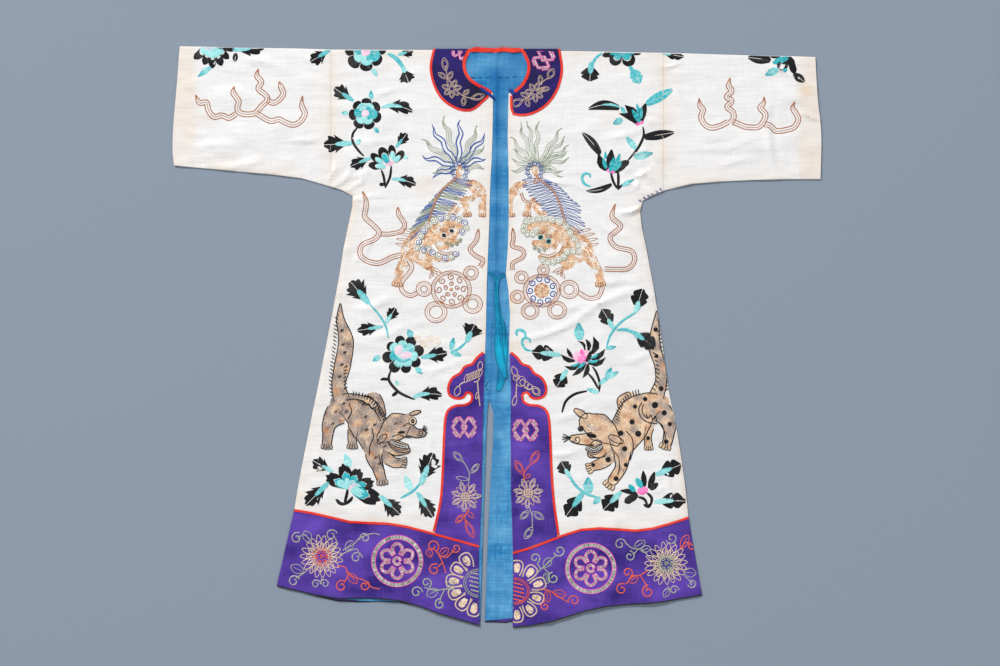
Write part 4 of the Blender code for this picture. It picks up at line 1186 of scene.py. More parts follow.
def limb(rows, kinds, degrees, level, edge="black", tone=0.5, bare=0.0, cap=True, **weave):
    # A rounded limb round a bent middle line, filled and outlined. Rows: place and width in mm.
    # The outline starts at bare, a share of the way from its root, and goes round its end if cap is set.
    middle = np.array([row[0] for row in rows])
    line = smooth(middle, 1.6)
    way = np.concatenate([[0], np.cumsum(abs(np.diff(middle)))]) / np.sum(abs(np.diff(middle)))
    half = np.interp(np.linspace(0, 1, len(line)), way, [row[1] for row in rows]) / 2
    side = sideways(line)
    sweep = np.exp(1j * np.radians(np.linspace(75, -75, 6)))
    tip = line[-1] - 1j * side[-1] * half[-1] * sweep
    root = line[0] + 1j * side[0] * half[0] * sweep
    left, right = line + side * half, (line - side * half)[::-1]
    raiseTo(level)
    fillShape(kinds, np.concatenate([left, tip, right, root]), degrees, tone=tone, **weave)
    start = int(bare * len(line))
    edges = []
    if edge and cap:
        edges = [np.concatenate([left[start:], tip, right[: len(right) - start]])]
    elif edge:
        edges = [left[start:], right[: len(right) - start]]
    if edges and not bare:
        edges.append(np.concatenate([right[-1:], root, left[:1]]))
    for part in edges:
        couch(edge, part, 2.5, 0.0)
    raiseTo(0)


def toes(kind, centre, towards, size, level, fill, count=4):
    aim = (towards - centre) / abs(towards - centre)
    for index in range(count):
        away = (index - (count - 1) / 2) / count
        own = aim * cmath.exp(1j * away * 0.9)
        toe = centre + aim * size * (0.5 - 0.6 * away * away) + 1j * aim * size * 1.5 * away
        raiseTo(level + 0.15 * (index % 2))
        spot(fill, toe, size * 0.5, size * 0.24, math.degrees(cmath.phase(own)), 0.6)
        angle = np.linspace(-2.4, 2.4, 12)
        couch(kind, toe + own * size * (0.5 * np.cos(angle) + 0.25j * np.sin(angle)), 1.7, 0.02)
    raiseTo(0)


# Lions with a ball. The left one mirrors the right one's body, so all places are those of the right lion.
# Tail: the strands' tips. Mane and belly: tip and root of each lock, x, y, x, y. Haunch: x, y, width.
lions = {
    "right": {
        "flip": 1, "backPaw": 0, "snout": 0, "hindToes": 3,
        "tail": ((510, 137), (519, 123), (538, 121), (562, 128), (569.5, 146), (569.5, 159), (563, 171), (512, 150),
                 (511, 160), (511, 171), (528, 121), (566, 137), (567, 152), (563, 176)),
        # thread, tone and the places of the cords across each strand
        "strands": (("sage", 0.45, (-1, 0.1, 1)),), "strandReach": 3.6, "strandCord": 1.3,
        "haunch": ((525, 183, 4), (519, 186, 9), (514, 191, 10), (510.8, 199, 4.5), (510.6, 213, 3.5)),
        "mane": ((547, 181, 539, 178), (558, 185, 545, 182), (565, 192, 551, 188), (571, 198, 555, 194),
                 (580, 206.5, 558.5, 201), (582, 218, 561, 209), (585, 228, 564, 217), (579, 236, 566, 225)),
        "eyes": ((540.5, 237.3, 2.5), (548.5, 241.4, 2.5)), "eyeRim": "turquoise",
        "curls": ((524, 226.4), (526, 221.8), (532.5, 220.4), (538.7, 219), (545.5, 218.6), (552.5, 220),
                  (560, 221.8), (566, 226.5), (570, 232.6), (574, 239), (578, 245.3), (579, 251.5), (573, 251.5),
                  (567, 252), (564, 257), (558.5, 259.4), (553, 261.5), (547.5, 262.5), (542.3, 260), (523.5, 230.5),
                  (527, 234), (532.5, 234.2), (537, 231), (534.5, 247.5), (538.5, 250), (543.5, 249.5)),
        "smallFrom": 19, "curlThreads": ("sage", "sage"), "curlTone": 0.45,
    },
    "left": {
        "flip": -1, "backPaw": -3.5, "snout": -4, "hindToes": 4,
        "tail": ((572.5, 139.5), (563.4, 125.4), (551.4, 116.3), (534, 119.8), (515.7, 126), (508, 134.5),
                 (509.4, 145.8), (508.7, 157.7), (510, 167.5), (572, 156.3), (562, 172), (562, 176)),
        "strands": (("sage", 0.45, (-1, -0.3, 0.35, 1)), ("royal", 0.2, (-1, -0.66, 0.74, 1))),
        "strandReach": 5.0, "strandCord": 1.5,
        "haunch": ((527, 182, 6), (520, 186, 12), (514, 193, 13), (512, 203, 8), (511.5, 214, 7)),
        "mane": ((542, 181, 540.5, 179), (553, 191, 549, 188), (562, 199, 553, 195), (573, 212, 557.5, 203),
                 (578.5, 222, 561, 211), (585, 233, 564, 219), (585.5, 241, 566, 226)),
        "eyes": ((550, 235.4, 2.5), (542.3, 231, 2.4)), "eyeRim": "white",
        "curls": ((559.8, 221.5), (553.5, 218.3), (547, 217.3), (541, 217.8), (535, 220), (529, 223), (527.5, 227.6),
                  (531.5, 231.4), (566, 225.5), (570, 230.6), (573, 236), (575.5, 242), (576.7, 248.1),
                  (570.4, 250.2), (565.5, 248.5), (561, 252.6), (555.6, 255), (549, 257.4), (543, 256.8),
                  (538.5, 253.6), (534.5, 240.5), (537.5, 243.8), (542.5, 245.2), (547, 243.4)),
        "smallFrom": 20, "curlThreads": ("sage", "royal"), "curlTone": 0.2,
    },
    "belly": ((521, 180, 539, 178), (524, 189, 547, 184), (531, 197, 554, 191), (537, 203, 558.5, 200),
              (543, 211, 561.5, 208), (552, 219, 564.5, 218)),
    "highlights": (
        ((522, 196), (526, 203), (533, 202), (538, 208), (543.5, 217)), ((586, 244), (594, 256), (600, 270)),
        ((566, 262), (576, 261), (584, 256)), ((572, 233), (578, 243), (588, 253), (594, 268)),
        ((514, 187), (518, 195), (515, 205)), ((533, 203), (531, 210), (529, 215)),
        ((570, 240), (574, 249), (582, 258)),
    ),
    "coat": (("copper", 0.5), ("tan", 0.27)),
    "weave": {"length": 3.0, "pitch": 1.35, "spread": 0.26, "patch": 4.8},
}


def sewLion(side):
    sewOn("front_" + side)
    look = lions[side]
    left = side == "left"
    flip = look["flip"]

    def here(px, py):
        return at(2 * picture["middleX"] - px if left else px, py)

    def line(rows, step=None):
        return smooth([here(*row) for row in rows], step)

    def body(table, degrees, level=0.0, tone=0.6):
        rows = [(here(x, y), width * px2mm) for x, y, width in table]
        limb(rows, lions["coat"], degrees, level, "", tone, **lions["weave"])

    base = here(535.5, 167)
    for index, tip in enumerate(look["tail"]):
        end = here(*tip)
        share = np.linspace(0, 1, 11)
        across = 1j * (base - end) / abs(base - end)
        wave = np.sin(share * abs(base - end) / 6.2 + index) * (1 - share * 0.8) * 4.2
        middle = smooth((end + (base - end) * share + across * wave)[:-1], 2)
        reach = ease(np.linspace(0, 1, len(middle)), -0.02, 0.4) * look["strandReach"]
        thread, tone, cords = look["strands"][index % len(look["strands"])]
        for place in cords:
            pale = 0.2 * (abs(place) < 1)
            couch(thread, middle + sideways(middle) * reach * place, look["strandCord"], tone + pale)
    raiseTo(0.5)
    for index in range(9):
        angle = -45 + 33.75 * index
        curl("royal", around(here(534.5, 171), 7.4 * px2mm, angle), 6, 1.4, angle, width=1.4, tone=0.1)
    raiseTo(0)

    # the haunch and hind legs, the belly, the chest and the front legs
    body(((536, 181, 7), (534, 167, 5)), 80)
    body(look["haunch"], 60)
    if left:
        body(((519, 196, 5), (524, 199.5, 6), (529, 198.5, 5)), 20, 0.1)
    else:
        ribbon("copper", line(((521, 193), (524, 200), (530, 202.5), (536, 200))), 5)
    body(((533, 200, 5), (528.5, 205, 6.5), (527, 213, 7)), 70)
    body(((531, 201, 5), (538, 208, 9), (544, 217, 8)), -50 * flip)
    paw = look["backPaw"]
    body(((566, 232, 18), (575, 240, 22), (584, 249, 18), (591.5 + paw, 260, 11), (598 + paw, 271, 8.5),
          (600 + paw, 280, 8)), -55 * flip)
    body(((556, 259, 7), (567, 259, 15), (578, 256, 14)), 10, 0.1, 0.75)
    body(((571, 264, 8), (565, 267, 7), (561, 269.5, 5)), 30)
    for claw in range(4):
        root, tip = here(564.5 - claw, 266.5 + claw * 1.8), here(552.5 + 4 * claw, 272.5 + claw * 2)
        outlineLeaf("copper", root, tip, 4.6, 0.15, "", 1.3)
    for x, y, tipX, tipY, size, count in ((600 + paw, 281, 601 + paw, 290, 13, 4),
                                          (527, 212, 526.5, 220, 11, look["hindToes"]), (511.5, 213, 512, 220, 9, 3)):
        toes("copper", here(x, y), here(tipX, tipY), size, 0.2, "tan", count)

    # locks of hair along the belly and the back, the spine and the chest
    for table, count in ((lions["belly"], 15), (look["mane"], 17)):
        ends, roots = line([row[:2] for row in table], 1.0), line([row[2:] for row in table], 1.0)
        for index in range(count):
            share = (index + 0.5) / count
            root = roots[int(share * len(roots))]
            tip = ends[int(share * len(ends))] + complex(*dice.uniform(-2.5, 2.5, 2))
            kind = "sage" if left and index // 2 % 2 else "royal"
            outlineLeaf(kind, root, tip, 4.4, 0.2, inside="", cord=1.2)
            if left:
                couch(kind, smooth([root, (root + tip) / 2, root + (tip - root) * 0.85], 2), 1.2, 0.45)
    raiseTo(0.6)
    spine = line(((537, 177), (544, 183), (553, 191), (558.5, 201), (562.5, 213), (566, 225)), 1.0)
    ribbon("copper", spine[::2], 3.0, filled=False, tone=0.35)
    raiseTo(0)
    for x, y, tipX, tipY in ((577, 232, 591, 229), (580, 236, 595, 233.5), (583, 241, 598, 238.5),
                             (586, 246, 598.5, 243.5)):
        outlineLeaf("copper", here(x, y), here(tipX, tipY), 5, 0.3, inside="", cord=1.3)
    for rows in lions["highlights"]:
        couch("white", line(rows, 2), 1.8, 0.85)

    # the head: a domed brow, the snout, a pale mouth with teeth, the jaw, the eyes and the curls round it
    body(((526, 229, 4), (536, 227, 12), (547, 232, 25), (556, 239, 29), (562, 246, 17)), 35 * flip, 0.35, 0.7)
    snout = look["snout"]
    body(((534.5, 243 + snout, 6), (540, 244.5 + snout, 9), (546, 246 + snout, 7)), 0, 0.7, 0.65)
    raiseTo(0.7)
    gums = line(((541, 252), (549, 253.5), (557, 249.5), (561, 243)), 1.6) - 3.4j
    rim = sideways(gums) * 4.4
    fillShape((("white", 1),), np.concatenate([gums + rim, (gums - rim)[::-1]]), 0, 1.3, 4, 0.85, 0.1)
    raiseTo(1)
    for place in evenly(gums, 4.2)[:9]:
        curl("copper", place, 2.2, 1.0, 90, width=1.0, tone=0.25)
    couch("copper", gums - rim, 1.3, 0.1)
    body(((540, 257, 4.5), (549, 259, 6.5), (558, 256, 7.5), (564, 249, 8)), 0, 0.4, 0.55)
    couch("white", line(((548, 226), (557, 230), (563, 238), (566, 246)), 2), 1.6, 0.7)
    for x, y, size in look["eyes"]:
        raiseTo(0.8)
        spot(look["eyeRim"], here(x, y), size * px2mm * 1.14, tone=0.4)
        raiseTo(1.1)
        spot("black", here(x, y), size * px2mm, size * px2mm * 0.8, 30 * flip, tone=0.05)
        raiseTo(0.8)
        for lash in range(6):
            lean = lash - 2.5
            strand = here(x, y - 3) + lean * 2.2
            couch("copper", evenly([strand, strand + complex(0.8 * lean, 9)], 2), 1.2, 0.2)
    for index, place in enumerate(look["curls"]):
        small = index >= look["smallFrom"] and place[1] > 236
        if not small:
            raiseTo(0.6)
            spot("white", here(*place), 7.4, tone=0.6)
        raiseTo(1)
        kind = "sage" if small else look["curlThreads"][index % 2]
        curl(kind, here(*place), 4.8 if small else 7.6, 1.5, 40 * index, flip, 1.6, look["curlTone"])
    raiseTo(0)


def sewBalls():
    sewOn("front_right")
    centre = at(541.8, 290.5)
    ring("copper", centre, 40, 7, 0.88)
    for index in range(9):
        angle = 20 + 40 * index
        curl("royal", around(centre, 25.5, angle), 8, 1.25, angle, width=2.2, tone=0.0, paired=True)
    heart = centre + 16.5 * np.exp(1j * np.linspace(0, 6.28, 20))
    fillShape((("copper", 0.5), ("tan", 0.5)), heart, 40, 1.4, 2.6, 0.65, 0.3, 3)
    for x, y, radius, width in ((543.5, 270, 5.8, 7.2), (521.4, 277.4, 6.8, 7.2), (569, 289.5, 9.6, 9.6),
                                (517.4, 296.8, 7, 7.2), (530.1, 311, 8.8, 7.2), (557, 310.2, 9.4, 7.2)):
        ring("copper", at(x, y), radius * px2mm, width, 0.95)
    ribbon("copper", drawn(((578, 292), (588, 298), (598, 296.5), (602.5, 287))), 8.5)
    for rows, ribbonWidth in (
        (((615.2, 204), (612, 217), (620.5, 226.5), (610, 237), (616, 247), (631, 251), (634.5, 260),
          (628, 268.5), (616, 269.5), (604.5, 269)), 9),
        (((512.7, 228), (513.4, 239), (512.4, 246), (522.5, 250), (523, 257), (513, 263), (512.5, 270)), 7.5),
    ):
        flame("copper", rows, ribbonWidth, taper=0.12)
    sewOn("front_left")
    centre = at(451.3, 289.5)
    ring("copper", centre, 43, 7, 0.93)
    for index in range(8):
        curl("copper", around(centre, 27, 45 * index), 8, 1.2, 45 * index, width=2.2, tone=0.1, paired=True)
    for index in range(5):
        place = around(centre, 13, 20 + 72 * index)
        curl("copper", place, 5.6, 1.4, 72 * index, -1, width=1.9, tone=0.15, paired=True)
    spot("copper", centre, 4, tone=0.4)
    for x, y, radius, width in ((471, 273, 7.4, 7.2), (472.6, 304, 9.8, 9.6), (436, 312, 11, 9.6),
                                (424, 289, 7.8, 9.6)):
        ring("copper", at(x, y), radius * px2mm, width, 0.95)
    for rows, ribbonWidth in (
        (((478.5, 229), (476.5, 240), (470, 249), (476, 256), (483, 260), (480, 267)), 8),
        (((362.6, 191.4), (366, 200), (366, 208), (365, 217), (373, 225), (379, 232), (375, 239), (362.5, 245),
          (360.5, 255), (368.5, 261.5), (379.5, 263), (392, 257.4), (402, 255)), 9.5),
        (((397.8, 207), (399, 215), (404.5, 223.5), (401.5, 231), (390, 234), (381, 234)), 8.5),
    ):
        flame("copper", rows, ribbonWidth, taper=0.12)
    ribbon("copper", drawn(((409, 260), (411.5, 269), (402, 282), (402.5, 291), (410, 295.5), (418, 292.6))), 8.5)


# Spotted beasts in long and short stitches, built of limbs: x, y and width
greyed = (("copper", 0.14), ("ash", 0.68), ("tan", 0.18))
beasts = {
    "right": {
        "kinds": (("copper", 0.26), ("tan", 0.5), ("ash", 0.24)), "tone": 0.6,
        "far": (
            (((656.8, 312, 1.5), (655.3, 329, 8), (654.5, 347, 12), (659.5, 364, 10.5), (661, 381, 11),
              (656, 397, 15)), 85, greyed), (((652, 420, 9), (648, 434, 7), (648, 441, 7), (648.5, 446, 8)), 85),
            (((612, 455, 14), (602, 463, 11), (594, 466, 9)), 10),
            (((637, 395, 3), (628, 395.5, 7), (620.5, 400, 6.5), (620, 407, 4)), 30),
        ),
        "body": (((662, 402, 14), (650, 405, 26), (637, 414, 36), (628, 430, 36), (620, 446, 26)), -55),
        "near": (
            (((650, 407, 10), (661, 412, 22), (668.5, 422, 15), (669, 432, 10.5), (667, 443, 9)), -70, greyed),
            (((621, 440, 18), (622, 455, 16), (620.5, 468, 11), (613, 480, 10)), 75),
        ),
        "head": (
            (((616, 441, 10), (608, 434, 22), (598, 427, 28), (588, 422, 18)), -35),
            (((601, 437, 14), (588, 439, 12), (577, 439, 9), (573, 438.5, 7)), 0),
            (((607, 446, 10), (599, 452, 11), (591, 454, 7)), 20),
        ),
        "ears": ((585, 416, 576, 410.5, 7), (611, 437, 621, 441.5, 7)),
        "feet": ((666, 443, 663, 453, 10), (648.5, 445, 648.5, 453, 7.5), (592, 467, 584.5, 470, 9),
                 (611, 482, 605.5, 490, 10.5)),
        "eyes": ((580.6, 428.5, 3.1, 2.6, 30), (591.5, 435.5, 5.2, 2.2, -10)),
        "mouth": ((586.5, 447), (594, 450.5), (602, 446)), "nose": (576.8, 439.5, 4.2),
        "whiskers": ((571, 437.5), ((563, 434), (562, 436.7), (562, 439.3), (563.5, 442))),
        "spots": ((654.8, 405, 3.2), (664, 412.7, 2.6), (669.6, 423.9, 2.2), (645, 398.9, 2.2), (634.9, 406.5, 2.1),
                  (631.8, 421.8, 2.6), (638, 433.6, 3), (620.6, 433, 2.7), (624.5, 448.6, 2.6), (607.9, 459.4, 2.6),
                  (625.7, 464.7, 2.1), (616, 478.5, 2.5), (593, 464.7, 2), (666, 441.5, 2.4), (661, 388.5, 2.4),
                  (656.5, 356, 2), (655.5, 329.5, 2.2), (648, 438, 2)),
        "dashes": (),
        "lines": (((641.8, 402), (638.6, 409), (640.8, 417), (647.5, 422), (657, 423.5)),
                  ((643.5, 404), (641.8, 410), (644, 415.5), (648, 418.5)),
                  ((626, 431), (631.8, 438), (633, 448), (630, 460)),
                  ((609.5, 441), (612, 449), (618, 456.5), (619.4, 467), (617.5, 475)),
                  ((660, 424), (664.5, 432), (665, 441)),
                  ((589, 447), (593, 441), (599, 440), (602, 443.5), (598.5, 445)),
                  ((646, 414), (648, 418), (650.5, 415), (652.5, 419.5), (655, 416), (656.5, 421)),
                  ((590, 455), (597, 457.5), (605, 456))),
        "fur": (((640, 393), (630, 397), (623, 404), (619, 413), (618, 422)), 14, -1),
        "tailSide": (((658, 330), (660.5, 345), (664.5, 362), (666.5, 378), (665, 392)), 16, 1),
        "tailInside": (((652, 344), (654.5, 352), (657.5, 362), (658.5, 372), (658, 382), (654, 392)), 12, -1),
    },
    "left": {
        "kinds": (("copper", 0.14), ("ash", 0.62), ("tan", 0.24)), "tone": 0.5,
        "far": (
            (((340.4, 304.5, 1.5), (340.6, 320, 8), (346, 341, 15), (342.5, 366, 16), (338.5, 385, 13),
              (342, 400, 16)), 92), (((354, 424, 11), (352.5, 435, 9), (352.5, 443, 8)), 85),
            (((384, 456, 12), (393, 462, 10), (400, 463, 9)), -15),
            (((369, 395, 4), (376, 396.5, 8), (380.5, 404, 7), (383.5, 414, 5)), -40),
        ),
        "body": (((338, 403, 16), (350, 406, 26), (363, 415, 38), (371, 431, 36), (374, 447, 22)), 55),
        "near": (
            (((348, 409, 12), (337, 414, 24), (329.5, 424, 14), (328, 434, 10), (327, 443, 9)), 70, greyed),
            (((375, 443, 18), (374, 456, 16), (378, 468, 11), (381.5, 479, 9)), -75, greyed),
        ),
        "head": (
            (((383, 437, 12), (391, 431, 24), (399, 425, 27), (408, 420, 13)), 35),
            (((399, 430, 14), (409, 430, 12), (416, 433, 9), (422.5, 433, 7.5)), 10),
            (((386, 444, 10), (396, 451, 9), (407, 450, 6.5)), -20),
        ),
        "ears": ((411, 414, 419.5, 411.5, 4), (385, 436, 379, 442, 6)),
        "feet": ((327, 443, 326.5, 452, 9.5), (352.5, 443, 352, 452, 9), (401, 462, 411, 463, 9),
                 (382, 479, 383, 489, 9.5)),
        "eyes": ((412.7, 421, 2.4, 2.4, 0), (401.5, 432.2, 3.8, 1.5, 5)), "ringed": (412.7, 421),
        "mouth": ((390.5, 441.5), (399.5, 445.5), (408.5, 447)), "nose": (420.3, 432.6, 3.4),
        "whiskers": ((422.5, 430.5), ((424.5, 425), (426.5, 426.3), (427.6, 429), (427.6, 432.5))),
        "spots": (), "dashes": ((340, 331), (341, 345), (343, 353), (340, 365), (338, 377), (342, 404), (334, 412),
                                (345, 412), (331, 424), (362, 404), (364, 417), (365, 430), (373, 425), (394, 424),
                                (403, 426), (383, 447), (374, 458), (378, 464)),
        "lines": (((346, 400), (356, 399), (366, 403), (375, 411), (381, 421)),
                  ((362, 395.5), (371, 397), (377, 404), (380.5, 413)), ((349, 403), (351.5, 411), (348.5, 419)),
                  ((372, 428), (373.5, 437), (370, 446), (369.5, 455)),
                  ((387, 441), (393, 449), (402, 452.5), (409, 451)),
                  ((392, 437), (398, 434.5), (405, 437), (411, 437.5)),
                  ((357, 399), (360, 402.5), (363, 400.5), (366, 405), (369, 403.5), (371.5, 408.5), (374.5, 407.5),
                   (376, 413)), ((379, 455), (381, 463), (384.5, 470))),
        "fur": (((352, 395), (362, 397), (371, 402), (378, 411), (384, 421)), 15, 1),
        "tailSide": (((337.5, 318), (336.5, 334), (335, 350), (333, 368), (331.5, 384), (333, 398)), 22, -1),
        "tailInside": (((345, 366), (344, 378), (345, 390)), 7, 1),
    },
}


def furAlong(rows, count, side, size=5.5):
    line = drawn(rows, 1.0)
    for index in range(count):
        here = int((index + 0.5) / count * len(line))
        root, way = line[here], sideways(line)[here] * side
        tip = root + way * size * dice.uniform(0.8, 1.2) + 1j * size * 0.7
        couch("black", evenly([root - way * 1.2, (root + tip) / 2 + 0.6j, tip], 1.6), 1.9, 0.0)


def sewBeast(side):
    sewOn("front_" + side)
    look = beasts[side]

    def parts(groups, level, **edges):
        for table, degrees, *own in groups:
            rows = [(at(x, y), width * px2mm) for x, y, width in table]
            kinds = own[0] if own else look["kinds"]
            limb(rows, kinds, degrees, level, tone=look["tone"], pitch=1.2, length=5, patch=8.0, **edges)

    parts(look["far"][:1], 0, cap=False)
    parts(look["far"][1:], 0, bare=0.3)
    parts((look["body"],), 0.3, bare=0.05, cap=False)
    parts(look["near"], 0.6, bare=0.3)
    for x, y, tipX, tipY, width in look["ears"]:
        ear = ((x, y, width * 0.7), ((x + tipX) / 2, (y + tipY) / 2, width), (tipX, tipY, width * 0.6))
        parts(((ear, 30),), 0.9)
    parts(look["head"][:1], 0.9, cap=side == "right")
    parts(look["head"][1:], 1.0, bare=0.3)
    for x, y, tipX, tipY, size in look["feet"]:
        toes("black", at(x, y), at(tipX, tipY), size * px2mm * 0.7, 0.7, "ash" if side == "left" else "tan")
    raiseTo(1.4)
    if "ringed" in look:
        spot("tan", at(*look["ringed"]), 3.6 * px2mm, tone=0.9)
        ring("black", at(*look["ringed"]), 3.7 * px2mm, tone=0.05)
    raiseTo(1.7)
    for x, y, wide, high, degrees in look["eyes"]:
        spot("black", at(x, y), wide * px2mm, high * px2mm, degrees, 0.05)
    # the open mouth: pale lips, the dark inside and two rows of teeth
    gape = drawn(look["mouth"], 1.6)
    half = sideways(gape) * 5.2 * np.sin(math.pi * np.linspace(0.14, 0.9, len(gape))) ** 0.6
    for level, kind, size in ((1.3, "tan", 1.65), (1.6, "black", 1.0)):
        raiseTo(level)
        lips = np.concatenate([gape + half * size, (gape - half * size)[::-1]])
        fillShape(((kind, 1),), lips, 0, 1.2, 3, 0.6 if kind == "tan" else 0.05, 0.1)
        couch("black", np.append(lips, lips[0]), 1.8, 0.0)
    raiseTo(2)
    for index in range(1, len(gape) - 1, 2):
        for away in (0.45, -0.45):
            spot("white", gape[index] + half[index] * away, 1.0, 1.6, 0, 0.8)
    x, y, radius = look["nose"]
    raiseTo(1.5)
    curl("black", at(x, y), radius * px2mm, 1.15, 200, 1, 1.8, 0.0)
    raiseTo(1.2)
    root, tips = look["whiskers"]
    for tip in tips:
        couch("black", smooth([at(*root), at(*tip)], 1.6), 2.0, 0.0)
    for x, y, radius in look["spots"]:
        spot("black", at(x, y), radius * px2mm, tone=0.08)
    for x, y in look["dashes"]:
        for shift in (0, 3.4):
            tip = at(x, y) + complex(4.4 + shift, 4)
            couch("black", evenly([at(x, y) + shift - 1.5j, tip], 1.6), 1.5, 0.1)
    raiseTo(1.3)
    for rows in look["lines"]:
        couch("black", drawn(rows, 1.6), 2.0, 0.02)
    furAlong(*look["fur"])
    furAlong(*look["tailSide"])
    furAlong(*look["tailInside"])
    raiseTo(0)


# Purple borders, band and collar: laid outlines, and frets of silver bars between pink cords
def lozengePair(centre, size, degrees):
    turn = turned(degrees) * size
    for shift in (-0.2, 0.2):
        bar([centre + turn * (shift * 1j + part) for part in (0.42, 0.3j, -0.42, -0.3j, 0.42)], size * 0.1)
    for end in (-1, 1):
        for up in (1, -1):
            corner, foot = complex(end * 0.2, up * 0.48), complex(end * 0.42, up * 0.3)
            bar([centre + turn * corner, centre + turn * foot], size * 0.08)


def roundel(centre, radius):
    angle = np.linspace(0, 2 * math.pi, 40)
    bar(centre + radius * 0.9 * np.exp(1j * angle), radius * 0.15)
    for index in range(6):
        aim = turned(30 + 60 * index)
        arch = [centre + radius * aim * part for part in (0.24 - 0.1j, 0.5 - 0.19j, 0.66, 0.5 + 0.19j, 0.24 + 0.1j)]
        bar(smooth(arch, 3), radius * 0.1)
    bar(centre + radius * 0.13 * np.exp(1j * angle[::4]), radius * 0.1)


def tendrils(kind, lines, curls=(), leafRows=(), tone=0.5, cord=2.4):
    # lines: places. curls: x, y, radius, start, spin. leafRows: from x, y, to x, y, width, and what is inside
    for rows in lines:
        couch(kind, drawn(rows, 2.2), cord, tone, paired=True)
    for x, y, radius, start, spin in curls:
        curl(kind, at(x, y), radius * 1.2 * px2mm, 1.2, start, spin, cord * 1.1, tone, paired=True)
    for x, y, tipX, tipY, width, *inside in leafRows:
        width = width * (1.2 if curls else 1) * px2mm
        outlineLeaf(kind, at(x, y), at(tipX, tipY), width, tone, *inside, cord=cord * 0.75)


